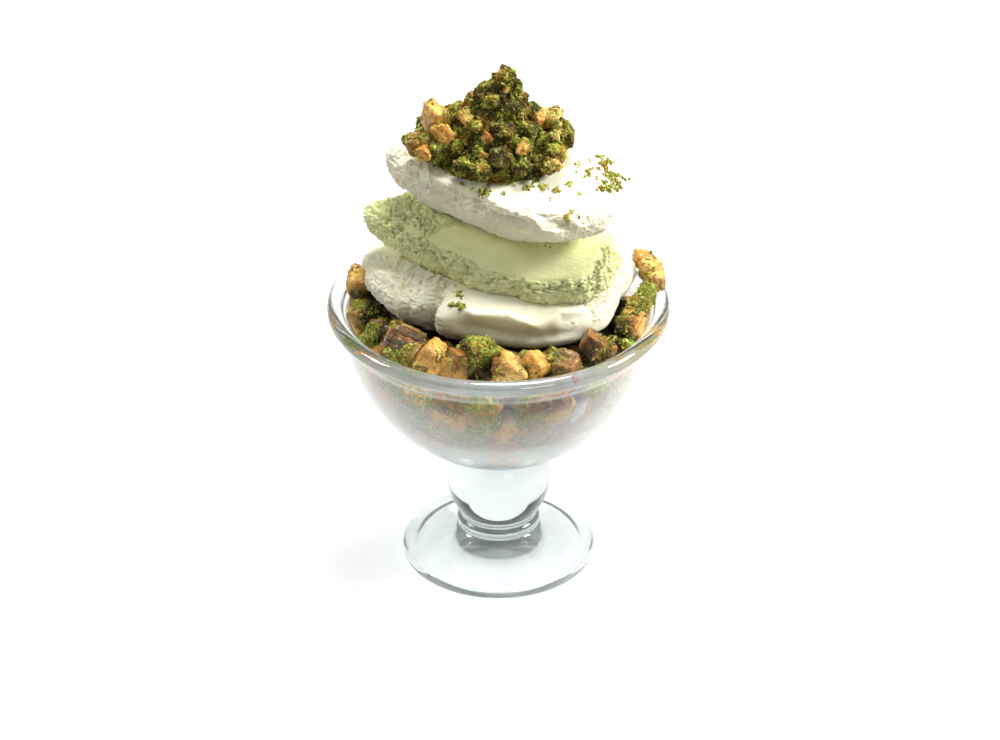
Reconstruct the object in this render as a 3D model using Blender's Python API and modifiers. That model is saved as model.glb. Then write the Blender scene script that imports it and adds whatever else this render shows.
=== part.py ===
"""Baklava cup: a footed glass bowl of chopped baklava under three slabs of ice cream and a heap of crumbs.

Metres, +Z up. The origin is the centre of the foot's underside, and the shown side faces -Y.
"""

import itertools
import math
import random

import bmesh
import bpy
from mathutils import Euler, Matrix, Vector, noise
from mathutils.bvhtree import BVHTree

MM = 0.001

# Glass cup: the driving sizes
RIM_RADIUS = 55.0 * MM
CUP_HEIGHT = 95.6 * MM
FOOT_RADIUS = 31.9 * MM
BALL_RADIUS = 17.0 * MM
WALL = 2.9 * MM

# Glass cup: rim bead and the plain band under it
BEAD = 2.5 * MM
BEAD_RADIUS = RIM_RADIUS - BEAD
BEAD_Z = CUP_HEIGHT - BEAD
BAND_RADIUS = 50.6 * MM
BAND_TOP_Z = BEAD_Z - 2.6 * MM
BAND_FOOT_Z = 86.0 * MM

# Glass cup: the bowl's outer and inner curves are superellipses hung from their top edge
BOWL_RADIUS = 49.6 * MM
BOWL_TOP_Z = 86.0 * MM
BOWL_BASE_Z = 39.0 * MM
BOWL_POWERS = (1.65, 2.1)
HOLLOW_RADIUS = BOWL_RADIUS - WALL + 0.4 * MM
HOLLOW_TOP_Z = 90.0 * MM
HOLLOW_BASE_Z = 48.0 * MM
HOLLOW_POWERS = (1.75, 2.1)

# Glass cup: ball stem, collar and foot
BALL_Z = 28.3 * MM
BOWL_JOIN_RADIUS = 11.7 * MM
COLLAR_JOIN_RADIUS = 12.4 * MM
COLLAR_RADIUS = 13.8 * MM
COLLAR_Z = 13.0 * MM
COLLAR_ROUND = 2.2 * MM
FOOT_TOP_Z = 10.4 * MM
FOOT_EDGE = 2.2 * MM
FOOT_RING = 27.0 * MM
FOOT_KICK = 3.0 * MM
TURN_STEPS = 36

# Least gap between any two pieces, and between the chopped baklava and the glass
GAP = 0.35 * MM
WALL_CLEARANCE = 0.6 * MM

# Chopped baklava in the bowl
CHUNK = 11.5 * MM
CORE_INSET = 5.0 * MM
CORE_AROUND = 24
BED_TOP_Z = 86.5 * MM
BED_CROWN = 1.5 * MM
BED_SEED = 11

# How far a piece moves at a time while it finds a free place, and in how many moves it has to find one. Then
# how uneven its corners are, as a share of its size, and how far it strays along its ring, as a share of a step
SINK = Vector((0.0, 0.0, -0.8 * MM))
RISE = Vector((0.0, 0.0, 0.6 * MM))
INWARD_STEP = 0.2 * MM
TRIES_TO_LAY = 10
TRIES_AT_WALL = 40
UNEVEN_CORNERS = 0.12
RING_STRAY = 0.15

# Heap of crumbs on the top slab, and how uneven its core is
HEAP_X = -1.5 * MM
HEAP_LEAN = 4.0 * MM
HEAP_Y = 11.0 * MM
HEAP_LONG = 21.8 * MM
HEAP_WIDE = 16.0 * MM
HEAP_HEIGHT = 28.5 * MM
HEAP_SEED = 5
HEAP_AROUND = 28
HEAP_ACROSS = 16
HEAP_SKIRT = 1.2 * MM
HEAP_ROUGH = 1.5 * MM
# Rings of crumbs on the heap: share of its radius, how many, and their sizes in mm
CRUMB_RINGS = [(1.0, 15, 4.5, 7.5), (0.78, 13, 3.5, 7.0), (0.55, 9, 3.0, 6.0), (0.3, 6, 3.0, 4.5)]


def metres(*values):
    """The values, given in millimetres, as a vector in metres."""
    return Vector(values) * MM


def degrees(*values):
    """The angles, given in degrees, as an Euler rotation."""
    return Euler([math.radians(value) for value in values])


# Rings of chunks: radius and height in mm, how many, their sizes against CHUNK, and how uneven the ring is
CHUNK_RINGS = [
    (10, 53, 4, (0.60, 0.80), 0.5),
    (21, 56, 9, (0.75, 0.95), 1.0),
    (31, 62, 12, (0.85, 1.10), 2.0),
    (39, 70, 15, (0.90, 1.15), 2.0),
    (43, 79, 17, (0.90, 1.15), 2.0),
    (43, 87, 20, (0.80, 1.10), 1.5),
    (34, 89, 9, (0.80, 1.15), 1.5),
    (46, 92, 16, (0.45, 0.70), 1.5),
]
# Chunks that stand out in front and at the left, and those that fill the bed behind: place, size in mm, turn
PLACED_CHUNKS = [
    (metres(-6, -35, 94), 12.5, degrees(10, 15, 25)),
    (metres(-21, -36, 92), 11.5, degrees(30, 5, 60)),
    (metres(3, -42, 92), 11.0, degrees(5, 35, 10)),
    (metres(12, -41, 92), 9.0, degrees(25, 15, 50)),
    (metres(35, -27, 92), 9.5, degrees(15, 30, 35)),
    (metres(-45, 9, 97), 9.5, degrees(15, 10, 20)),
    (metres(33, 24, 86), 11.5, degrees(20, 10, 35)),
    (metres(25, 33, 88), 11.0, degrees(10, 25, 70)),
    (metres(40, 13, 87), 10.0, degrees(30, 15, 10)),
]
# A long chunk leaning on the rim at the right, and crumbs perched on its end: ends or place, width and turn
LEANING_CHUNK = (metres(39, -15, 89.0), metres(49.0, 1, 98.5), 6.0)
PERCHED_CHUNKS = [
    (metres(50.5, 5.0, 99.5), 6.0, degrees(3, 5, 12)),
    (metres(49.0, 10.0, 100.5), 6.5, degrees(5, 3, 50)),
    (metres(46.3, 16.8, 100.5), 5.5, degrees(4, 6, 20)),
]

# Each slab: its middle, tilt, half lengths, how far its ends curl up along and across, how far it bellies
# down in its middle, and the waves of its outline as (cosine, sine) shares for 2, 3 and 4 waves around
SLABS = {
    "plain_slab_lower": {
        "middle": metres(1.6, 5.9, 99.0),
        "turn": degrees(3.5, 1.5, -7.0),
        "half": (44.6 * MM, 29.5 * MM, 7.5 * MM),
        "curl": (1.0 * MM, -2.0 * MM),
        "belly": 8.0 * MM,
        "waves": [(0.0, 0.02), (-0.05, 0.04), (-0.04, 0.0)],
        "folds": [(-121.0, 0.10, 5.0), (44.0, 0.14, 16.0), (-5.0, 0.035, 16.0)],
        "seed": 3.0,
    },
    "pistachio_slab": {
        "middle": metres(0.8, 6.0, 114.0),
        "turn": degrees(14.8, 6.3, -12.4),
        "half": (45.4 * MM, 17.7 * MM, 6.0 * MM),
        "curl": (3.0 * MM, -3.0 * MM),
        "belly": 5.0 * MM,
        "waves": [(-0.12, -0.05), (-0.04, -0.04), (0.01, 0.06)],
        "folds": [],
        "seed": 8.0,
    },
    "plain_slab_upper": {
        "middle": metres(4.9, 8.3, 134.0),
        "turn": degrees(5.3, 7.6, -11.6),
        "half": (39.2 * MM, 21.3 * MM, 7.5 * MM),
        "curl": (0.0 * MM, -1.0 * MM),
        "belly": 11.0 * MM,
        "waves": [(-0.04, 0.0), (-0.07, -0.02), (-0.01, 0.02)],
        "folds": [(-75.0, 0.05, 6.0), (-140.0, 0.04, 5.0), (50.0, -0.2, 22.0)],
        "seed": 14.0,
    },
}
SLAB_AROUND = 32
SLAB_ACROSS = 14
SLAB_ROUGH = 0.9 * MM

# Crumbs on the slabs: (x, y, size) in mm, found on the slab's top
UPPER_CRUMBS = [
    (-4.5, -8.8, 2.6),
    (14.6, -5.2, 1.8),
    (18.0, -5.6, 2.0),
    (22.5, -1.9, 2.0),
    (27.7, 6.0, 2.2),
    (21.7, -14.9, 2.4),
]
LOWER_CRUMBS = [(-13, -17, 3.2)]
# The crumbs spilt at the right end: their middle, how far they spread in x and y, in mm, and how many
CLUSTER = (36.0, 9.0, 2.2, 10.0, 22)


def finish(name, colour, roughness, transmission=0.0):
    """A Principled material."""
    material = bpy.data.materials.new(name)
    material.use_nodes = True
    shader = material.node_tree.nodes["Principled BSDF"]
    shader.inputs["Base Color"].default_value = (*colour, 1.0)
    shader.inputs["Roughness"].default_value = roughness
    shader.inputs["Transmission Weight"].default_value = transmission
    return material


def put_in(obj, collection, material=None):
    """Links obj to the collection and gives it its material."""
    collection.objects.link(obj)
    if material:
        obj.data.materials.append(material)
    return obj


def from_bmesh(name, bm):
    """A new object made of bm, which is freed."""
    mesh = bpy.data.meshes.new(name)
    bmesh.ops.recalc_face_normals(bm, faces=bm.faces)
    bm.to_mesh(mesh)
    bm.free()
    return bpy.data.objects.new(name, mesh)


def superellipse(radius, base_z, top_z, powers, z):
    """Radius at height z of a bowl that is widest at top_z and closes at base_z."""
    down = min(max((top_z - z) / (top_z - base_z), 0.0), 1.0)
    return radius * (1.0 - down ** powers[0]) ** (1.0 / powers[1])


def bowl_curve(radius, base_z, top_z, powers, steps, start=0.0):
    """Points (r, z) up a superellipse bowl, closer together near its base."""
    points = []
    for step in range(steps):
        share = start + (1.0 - start) * step / (steps - 1)
        z = base_z + (top_z - base_z) * (1.0 - math.cos(share * math.pi / 2))
        points.append((superellipse(radius, base_z, top_z, powers, z), z))
    return points


def arc(centre_r, centre_z, radius, start, end, steps):
    """Points (r, z) on an arc, its angles in degrees from +r towards +z."""
    angles = [math.radians(start + (end - start) * step / (steps - 1)) for step in range(steps)]
    return [(centre_r + radius * math.cos(a), centre_z + radius * math.sin(a)) for a in angles]


def hollow_profile(inset, steps):
    """The bowl's inner curve from the axis up to the bead, moved inwards by inset."""
    return bowl_curve(HOLLOW_RADIUS - inset, HOLLOW_BASE_Z + inset, HOLLOW_TOP_Z, HOLLOW_POWERS, steps)


def cup_profile():
    """The cup's section: up the inside, over the bead, and down the outside to the foot's underside."""
    inside = hollow_profile(0.0, 12)
    bead = arc(BEAD_RADIUS, BEAD_Z, BEAD, 170, -70, 7)
    band = [(BAND_RADIUS, BAND_TOP_Z), (BAND_RADIUS - 0.4 * MM, BAND_FOOT_Z + 0.8 * MM)]
    outside = bowl_curve(BOWL_RADIUS, BOWL_BASE_Z, BOWL_TOP_Z, BOWL_POWERS, 9, start=0.17)[::-1]
    angles = [math.degrees(math.acos(r / BALL_RADIUS)) for r in (BOWL_JOIN_RADIUS, COLLAR_JOIN_RADIUS)]
    ball = arc(0.0, BALL_Z, BALL_RADIUS, angles[0], -angles[1], 8)
    collar = arc(COLLAR_RADIUS - COLLAR_ROUND, COLLAR_Z, COLLAR_ROUND, 65, -45, 4)
    foot = [(COLLAR_RADIUS + 1.6 * MM, FOOT_TOP_Z - 0.5 * MM)]
    foot.append((FOOT_RADIUS - 9.0 * MM, FOOT_TOP_Z - 4.2 * MM))
    edge = arc(FOOT_RADIUS - FOOT_EDGE, FOOT_EDGE, FOOT_EDGE, 80, -90, 5)
    under = [(FOOT_RING, 0.0), (FOOT_RING - 2.0 * MM, FOOT_KICK * 0.5), (FOOT_RING * 0.5, FOOT_KICK * 0.9)]
    return inside + bead + band + outside + ball + collar + foot + edge + under + [(0.0, FOOT_KICK)]


def turned(name, profile, steps):
    """An object turned from a profile of (r, z) points by a Screw modifier."""
    mesh = bpy.data.meshes.new(name)
    points = [(r if r > 1e-6 else 0.0, 0.0, z) for r, z in profile]
    mesh.from_pydata(points, [(i, i + 1) for i in range(len(points) - 1)], [])
    obj = bpy.data.objects.new(name, mesh)
    screw = obj.modifiers.new("turn", "SCREW")
    screw.steps = steps
    screw.render_steps = steps
    screw.use_merge_vertices = True
    screw.merge_threshold = 0.00001
    screw.use_smooth_shade = True
    return obj


def applied(obj, name, collection):
    """A new object holding obj's evaluated mesh in world space. obj is removed."""
    bpy.context.view_layer.update()
    graph = bpy.context.evaluated_depsgraph_get()
    mesh = bpy.data.meshes.new_from_object(obj.evaluated_get(graph))
    mesh.transform(obj.matrix_world)
    materials = list(obj.data.materials)
    bpy.data.objects.remove(obj)
    mesh.name = name
    made = bpy.data.objects.new(name, mesh)
    mesh.materials.clear()
    for material in materials:
        mesh.materials.append(material)
    return put_in(made, collection)


def unit_sphere(around, across):
    """A ball of radius 1 to draw out into a shape, its poles exactly on the axis."""
    bm = bmesh.new()
    bmesh.ops.create_uvsphere(bm, u_segments=around, v_segments=across, radius=1.0)
    for vertex in bm.verts:
        if vertex.co.xy.length < 1e-4:
            vertex.co.xy = (0.0, 0.0)
    return bm


def outline_share(angle, slab):
    """How far out the slab's edge is at this angle, as a share of its ellipse."""
    share = 1.0
    for count, (cosine, sine) in enumerate(slab["waves"], start=2):
        share += cosine * math.cos(count * angle) + sine * math.sin(count * angle)
    for direction, depth, width in slab["folds"]:
        off = (math.degrees(angle) - direction + 180.0) % 360.0 - 180.0
        share -= depth * math.exp(-((off / width) ** 2))
    return share


def slab_point(direction, slab):
    """Where the point of a unit sphere in this direction goes on the slab. Only its side is rough."""
    angle = math.atan2(direction.y, direction.x)
    half_x, half_y, half_z = slab["half"]
    spread = math.hypot(direction.x, direction.y) ** 0.62
    x = half_x * outline_share(angle, slab) * spread * math.cos(angle)
    y = half_y * outline_share(angle, slab) * spread * math.sin(angle)
    z = half_z * math.copysign(abs(direction.z) ** 0.75, direction.z)
    z += slab["curl"][0] * (x / half_x) ** 2 + slab["curl"][1] * (y / half_y) ** 2
    if direction.z < 0:
        z -= slab["belly"] * (1.0 - spread) ** 0.5 * abs(direction.z)
    point = Vector((x, y, z))
    crag = noise.noise(point / (9.0 * MM) + Vector((slab["seed"], 0, 0)))
    crag += 0.6 * noise.noise(point / (4.5 * MM) + Vector((0, slab["seed"], 0)))
    point += direction * crag * SLAB_ROUGH * spread ** 6
    turn = Matrix.Translation(slab["middle"]) @ slab["turn"].to_matrix().to_4x4()
    return turn @ point


def slab_body(name, slab):
    """A slab of ice cream: a sphere drawn out to the slab's outline and thickness."""
    bm = unit_sphere(SLAB_AROUND, SLAB_ACROSS)
    for vertex in bm.verts:
        vertex.co = slab_point(vertex.co.copy(), slab)
    return from_bmesh(name, bm)


def surface_of(obj):
    """A search tree of obj's evaluated mesh in world space."""
    bpy.context.view_layer.update()
    graph = bpy.context.evaluated_depsgraph_get()
    evaluated = obj.evaluated_get(graph)
    mesh = evaluated.to_mesh()
    points = [obj.matrix_world @ vertex.co for vertex in mesh.vertices]
    faces = [tuple(polygon.vertices) for polygon in mesh.polygons]
    evaluated.to_mesh_clear()
    return BVHTree.FromPolygons(points, faces)


def rest_on(obj, support, gap):
    """Lifts the points of obj that would be in or too near the support to a gap above it."""
    tree = surface_of(support)
    sky = 1.0
    for vertex in obj.data.vertices:
        hit = tree.ray_cast(Vector((vertex.co.x, vertex.co.y, sky)), Vector((0, 0, -1)))[0]
        if hit and vertex.co.z < hit.z + gap:
            vertex.co.z = hit.z + gap


def any_turn(draw):
    """A random rotation."""
    return Euler([draw.uniform(0, 2 * math.pi) for _ in range(3)])


def chunk_points(size, turn, draw):
    """Corners of a chopped piece: a box with uneven corners, about its middle."""
    corners = itertools.product((-0.5, 0.5), repeat=3)
    return [turn.to_matrix() @ (Vector(c) + uneven(draw, UNEVEN_CORNERS)) * size for c in corners]


def stick_points(start, end, width, draw):
    """Corners of a long piece between two places."""
    turn = (end - start).to_track_quat("Z", "Y").to_matrix()
    sides = [Vector((x, y, 0.0)) for x, y in itertools.product((-0.5, 0.5), repeat=2)]
    ends = [(place, side) for place in (start, end) for side in sides]
    return [place + turn @ (side + uneven(draw, UNEVEN_CORNERS)) * width for place, side in ends]


def uneven(draw, most):
    """A small random step in each direction."""
    return Vector([draw.uniform(-most, most) for _ in range(3)])


def hull_of(name, points):
    """The convex solid round the points."""
    bm = bmesh.new()
    for point in points:
        bm.verts.new(point)
    found = bmesh.ops.convex_hull(bm, input=bm.verts)
    loose = [v for v in found["geom_interior"] + found["geom_unused"] if isinstance(v, bmesh.types.BMVert)]
    bmesh.ops.delete(bm, geom=loose, context="VERTS")
    return from_bmesh(name, bm)


def keep_largest_shell(obj):
    """Drops loose scraps and fills sealed hollows: only the largest closed shell stays."""
    bm = bmesh.new()
    bm.from_mesh(obj.data)
    waiting = set(bm.faces)
    shells = []
    while waiting:
        shell = [waiting.pop()]
        for face in shell:
            for edge in face.edges:
                for other in edge.link_faces:
                    if other in waiting:
                        waiting.remove(other)
                        shell.append(other)
        shells.append(shell)
    largest = max(shells, key=lambda faces: sum(face.calc_area() for face in faces))
    dropped = [face for shell in shells if shell is not largest for face in shell]
    bmesh.ops.delete(bm, geom=dropped, context="FACES")
    bm.to_mesh(obj.data)
    bm.free()


def fused(name, core, pieces, collection, solver="EXACT"):
    """Core and pieces joined into one solid. The pieces are removed."""
    join = core.modifiers.new("join", "BOOLEAN")
    join.operation = "UNION"
    join.solver = solver
    join.operand_type = "COLLECTION"
    join.collection = pieces
    made = applied(core, name, collection)
    keep_largest_shell(made)
    for piece in list(pieces.objects):
        bpy.data.objects.remove(piece)
    return made


def helper_collection(name):
    """A collection for cutters and loose pieces, left out of the render."""
    collection = bpy.data.collections.new(name)
    bpy.context.scene.collection.children.link(collection)
    return collection


def hidden(obj, collection):
    """Marks obj as a helper."""
    put_in(obj, collection)
    obj.hide_render = True
    obj.display_type = "WIRE"
    return obj


def bed_core():
    """The packed middle of the baklava, a little smaller than the bowl."""
    side = [point for point in hollow_profile(CORE_INSET, 7) if point[1] < BED_TOP_Z - 8.0 * MM]
    foot = [(0.0, HOLLOW_BASE_Z + GAP), (9.0 * MM, HOLLOW_BASE_Z + 1.2 * MM)]
    shoulder = (side[-1][0], BED_TOP_Z - 5.0 * MM)
    crown = [(side[-1][0] * 0.8, BED_TOP_Z), (side[-1][0] * 0.5, BED_TOP_Z + BED_CROWN)]
    profile = foot + side[2:] + [shoulder] + crown + [(0.0, BED_TOP_Z + BED_CROWN)]
    return turned("bed_core", profile[::-1], CORE_AROUND)


def room_at(z):
    """Radius of the room for food inside the cup at height z."""
    if z > CUP_HEIGHT + WALL_CLEARANCE:
        return 2 * RIM_RADIUS
    if z > HOLLOW_TOP_Z:
        share = min((z - HOLLOW_TOP_Z) / (BEAD_Z - HOLLOW_TOP_Z), 1.0)
        return HOLLOW_RADIUS + share * (BEAD_RADIUS - BEAD - HOLLOW_RADIUS) - WALL_CLEARANCE
    base_z = HOLLOW_BASE_Z + 1.5 * WALL_CLEARANCE
    return superellipse(HOLLOW_RADIUS - WALL_CLEARANCE, base_z, HOLLOW_TOP_Z, HOLLOW_POWERS, z)


def clear_of_wall(points):
    """The points moved towards the axis until all are inside the bowl, or None if they can't be."""
    for _ in range(TRIES_AT_WALL):
        free = max(min(p.z for p in points), HOLLOW_TOP_Z)
        over = max(math.hypot(p.x, p.y) - room_at(min(p.z, free)) for p in points)
        if over <= 0 and min(p.z for p in points) > HOLLOW_BASE_Z + 2 * WALL_CLEARANCE:
            return points
        middle = sum(points, Vector()) / len(points)
        inward = Vector((-middle.x, -middle.y, 0.35 * middle.xy.length)).normalized()
        points = [p + inward * max(over, INWARD_STEP) for p in points]
    return None


def too_near(points, surfaces):
    """Whether the piece would come nearer than the gap to one of the surfaces."""
    middle = sum(points, Vector()) / len(points)
    room = hull_of("room", [p + (p - middle).normalized() * 2 * GAP for p in points])
    near = any(surface_of(room).overlap(surface) for surface in surfaces)
    bpy.data.objects.remove(room)
    return near


def lay(name, points, step, surfaces, collection):
    """Adds the piece, moved by as many steps as it takes to clear the surfaces, or leaves it out."""
    for _ in range(TRIES_TO_LAY):
        settled = clear_of_wall(points)
        if settled and not too_near(settled, surfaces):
            hidden(hull_of(name, settled), collection)
            return
        points = [p + step for p in points]


def perch(points, surfaces, collection):
    """Adds the piece at the lowest height, from its own upwards, where it clears the surfaces."""
    while too_near(points, surfaces):
        points = [p + RISE for p in points]
    hidden(hull_of("perched_chunk", points), collection)


def ring_of_chunks(ring, height, count, sizes, lift, surfaces, collection, draw):
    """Chunks laid round the bowl at one height."""
    for index in range(count):
        angle = (index + draw.uniform(-RING_STRAY, RING_STRAY)) * 2 * math.pi / count + ring
        size = CHUNK * draw.uniform(*sizes)
        radius = (ring + draw.uniform(-1.0, 1.0)) * MM
        place = Vector((radius * math.cos(angle), radius * math.sin(angle), height * MM))
        place.z += draw.uniform(-lift, lift) * MM
        points = [place + p for p in chunk_points(size, any_turn(draw), draw)]
        lay("chunk", points, SINK, surfaces, collection)


def baklava_bed(collection, helpers, slab, glass, colour):
    """The baklava that fills the bowl."""
    draw = random.Random(BED_SEED)
    pieces = helper_collection("bed_pieces")
    slabs = [surface_of(slab)]
    for place, size, turn in PLACED_CHUNKS:
        points = chunk_points(size * MM, turn, draw)
        lay("chunk", [place + p for p in points], SINK, slabs, pieces)
    start, end, width = LEANING_CHUNK
    perch(stick_points(start, end, width * MM, draw), slabs + [surface_of(glass)], pieces)
    for place, size, turn in PERCHED_CHUNKS:
        points = chunk_points(size * MM, turn, draw)
        perch([place + p for p in points], slabs + [surface_of(glass)], pieces)
    for ring, height, count, sizes, lift in CHUNK_RINGS:
        ring_of_chunks(ring, height, count, sizes, lift, slabs, pieces, draw)
    core = put_in(bed_core(), helpers, colour)
    return fused("baklava_bed", core, pieces, collection)


def top_of(tree, x, y):
    """The height of the surface under the sky at (x, y), or None."""
    hit = tree.ray_cast(Vector((x, y, 1.0)), Vector((0, 0, -1)))[0]
    return hit.z if hit else None


def scatter_crumbs(slab, crumbs, collection, draw):
    """Crumbs half sunk in the slab's top."""
    tree = surface_of(slab)
    for x, y, size in crumbs:
        height = top_of(tree, x * MM, y * MM)
        if height is not None:
            place = Vector((x * MM, y * MM, height + 0.15 * size * MM))
            points = chunk_points(size * MM * 0.8, any_turn(draw), draw)
            hidden(hull_of("crumb", [place + p for p in points]), collection)


def cluster_of(x, y, spread_x, spread_y, count, draw):
    """Crumbs drawn round a place."""
    crumbs = []
    for _ in range(count):
        crumbs.append((draw.gauss(x, spread_x / 2), draw.gauss(y, spread_y / 2), draw.uniform(1.6, 2.8)))
    return crumbs


def heap_height(share, angle):
    """Height of the heap's core at a share of its radius: a peak over a broad shoulder."""
    peak = 0.62 * max(1.0 - share, 0.0) ** 0.9
    shoulder = 0.38 * max(1.0 - share ** 3, 0.0)
    return HEAP_HEIGHT * (peak + shoulder) * (1.0 + 0.12 * share * math.sin(3 * angle + 1.0))


def heap_place(share, angle):
    """Where a point of the heap is, seen from above. The peak leans to the right."""
    x = HEAP_X + HEAP_LONG * share * math.cos(angle) + HEAP_LEAN * (1.0 - share)
    return x, HEAP_Y + HEAP_WIDE * share * math.sin(angle)


def crags(point, size):
    """Smooth noise of this size, as a step in each direction."""
    offsets = (Vector((0, 0, 0)), Vector((31, 0, 0)), Vector((0, 47, 0)))
    return Vector([noise.noise(point / size + offset) for offset in offsets])


def heap_core(slab_tree):
    """The heap's core, its underside a gap above the slab."""
    bm = unit_sphere(HEAP_AROUND, HEAP_ACROSS)
    for vertex in bm.verts:
        angle = math.atan2(vertex.co.y, vertex.co.x)
        share = min(math.hypot(vertex.co.x, vertex.co.y), 1.0) ** 1.3
        above = vertex.co.z
        x, y = heap_place(share, angle)
        base = (top_of(slab_tree, x, y) or 0.0) + 2.0 * GAP
        rise = heap_height(share, angle) if above > 0.01 else 0.0
        skirt = HEAP_SKIRT if above > -0.01 else 0.0
        vertex.co = Vector((x, y, base + skirt + rise))
        if rise > 2.0 * MM:
            crag = crags(vertex.co, 5.0 * MM) + 0.7 * crags(vertex.co, 2.4 * MM)
            vertex.co += crag * HEAP_ROUGH
    return from_bmesh("heap_core", bm)


def baklava_topping(collection, helpers, slab, colour):
    """The heap of ground nuts and crumbs on the top slab."""
    draw = random.Random(HEAP_SEED)
    tree = surface_of(slab)
    pieces = helper_collection("heap_pieces")
    for share, count, small, large in CRUMB_RINGS:
        for index in range(count):
            angle = (index + draw.uniform(-0.3, 0.3)) * 2 * math.pi / count
            size = draw.uniform(small, large) * MM
            x, y = heap_place(share, angle)
            base = top_of(tree, x, y)
            if base is None:
                continue
            points = chunk_points(size, any_turn(draw), draw)
            lowest = min(p.z for p in points)
            rise = max(heap_height(share, angle) * 0.97, 3 * GAP - lowest)
            place = Vector((x, y, base + rise))
            lay("crumb", [place + p for p in points], RISE, [tree], pieces)
    core = put_in(heap_core(tree), helpers, colour)
    return fused("baklava_topping", core, pieces, collection)


def main():
    for obj in list(bpy.data.objects):
        bpy.data.objects.remove(obj)
    scene = bpy.context.scene.collection
    cup = bpy.data.collections.new("baklava_cup")
    scene.children.link(cup)
    helpers = helper_collection("helpers")

    glass = finish("clear_glass", (0.9, 0.95, 0.94), 0.03, transmission=1.0)
    cream = finish("plain_ice_cream", (0.93, 0.92, 0.86), 0.45)
    green = finish("pistachio_ice_cream", (0.66, 0.74, 0.42), 0.5)
    pastry = finish("chopped_baklava", (0.45, 0.33, 0.10), 0.6)
    nut = finish("ground_pistachio", (0.30, 0.36, 0.08), 0.7)

    cup_body = put_in(turned("glass_cup", cup_profile(), TURN_STEPS), cup, glass)

    draw = random.Random(HEAP_SEED)
    support = put_in(bed_core(), helpers)
    lower = put_in(slab_body("lower_slab", SLABS["plain_slab_lower"]), helpers, cream)
    rest_on(lower, support, 2 * GAP)
    bpy.data.objects.remove(support)
    baklava_bed(cup, helpers, lower, cup_body, pastry)

    middle = put_in(slab_body("pistachio_slab", SLABS["pistachio_slab"]), cup, green)
    rest_on(middle, lower, 2 * GAP)
    crumbs = helper_collection("lower_crumbs")
    scatter_crumbs(lower, LOWER_CRUMBS, crumbs, draw)
    fused("plain_slab_lower", lower, crumbs, cup)

    upper = put_in(slab_body("upper_slab", SLABS["plain_slab_upper"]), helpers, cream)
    rest_on(upper, middle, 2 * GAP)
    baklava_topping(cup, helpers, upper, nut)
    crumbs = helper_collection("upper_crumbs")
    scatter_crumbs(upper, UPPER_CRUMBS + cluster_of(*CLUSTER, draw), crumbs, draw)
    fused("plain_slab_upper", upper, crumbs, cup)


main()
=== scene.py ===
import itertools
import math
import random

import bmesh
import bpy
import numpy as np
from mathutils import Euler, Matrix, Vector, noise
from mathutils.bvhtree import BVHTree


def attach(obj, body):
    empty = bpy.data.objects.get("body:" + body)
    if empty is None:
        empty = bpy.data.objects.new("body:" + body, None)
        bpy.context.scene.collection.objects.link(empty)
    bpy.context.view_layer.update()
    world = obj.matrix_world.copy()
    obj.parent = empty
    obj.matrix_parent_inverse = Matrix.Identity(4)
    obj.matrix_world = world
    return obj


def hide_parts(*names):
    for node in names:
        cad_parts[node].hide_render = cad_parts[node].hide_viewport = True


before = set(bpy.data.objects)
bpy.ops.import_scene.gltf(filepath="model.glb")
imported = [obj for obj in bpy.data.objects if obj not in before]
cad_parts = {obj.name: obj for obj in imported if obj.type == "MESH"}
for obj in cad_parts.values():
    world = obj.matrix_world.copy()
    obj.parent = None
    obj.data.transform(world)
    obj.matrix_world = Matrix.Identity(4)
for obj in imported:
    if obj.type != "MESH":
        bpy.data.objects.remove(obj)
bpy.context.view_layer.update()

# Baklava cup. Metres, +Z up, the shown side faces -Y. Every piece stands for a CAD node and keeps its form.

MM = 0.001


def metres(*values):
    """The values, given in millimetres, as a vector in metres."""
    return Vector(values) * MM


def degrees(*values):
    """The angles, given in degrees, as an Euler rotation."""
    return Euler([math.radians(value) for value in values])


# ---------------------------------------------------------------- sizes

# Glass cup, as in the solids
RIM_RADIUS = 55.0 * MM
CUP_HEIGHT = 95.6 * MM
FOOT_RADIUS = 31.9 * MM
BALL_RADIUS = 17.0 * MM
WALL = 2.9 * MM
BEAD = 2.5 * MM
BEAD_RADIUS = RIM_RADIUS - BEAD
BEAD_Z = CUP_HEIGHT - BEAD
BOWL_RADIUS = 49.6 * MM
BOWL_TOP_Z = 86.0 * MM
BOWL_BASE_Z = 39.0 * MM
BOWL_POWERS = (1.65, 2.1)
BAND_RADIUS = 50.6 * MM
BAND = [(BAND_RADIUS, BEAD_Z - 2.6 * MM), (BAND_RADIUS - 0.4 * MM, BOWL_TOP_Z + 0.8 * MM)]
HOLLOW_RADIUS = BOWL_RADIUS - WALL + 0.4 * MM
HOLLOW_TOP_Z = 90.0 * MM
HOLLOW_BASE_Z = 48.0 * MM
HOLLOW_POWERS = (1.75, 2.1)
BALL_Z = 28.3 * MM
BOWL_JOIN_RADIUS = 11.7 * MM
COLLAR_JOIN_RADIUS = 12.4 * MM
COLLAR_RADIUS = 13.8 * MM
COLLAR_Z = 13.0 * MM
COLLAR_ROUND = 2.2 * MM
FOOT_TOP_Z = 10.4 * MM
FOOT_EDGE = 2.2 * MM
FOOT_RING = 27.0 * MM
FOOT_KICK = 3.0 * MM
FOOT_SLOPE = [
    (COLLAR_RADIUS + 1.6 * MM, FOOT_TOP_Z - 0.5 * MM), (FOOT_RADIUS - 9.0 * MM, FOOT_TOP_Z - 4.2 * MM),
]
FOOT_UNDER = [(FOOT_RING, 0.0), (FOOT_RING - 2.0 * MM, FOOT_KICK * 0.5), (FOOT_RING * 0.5, FOOT_KICK * 0.9)]
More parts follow.
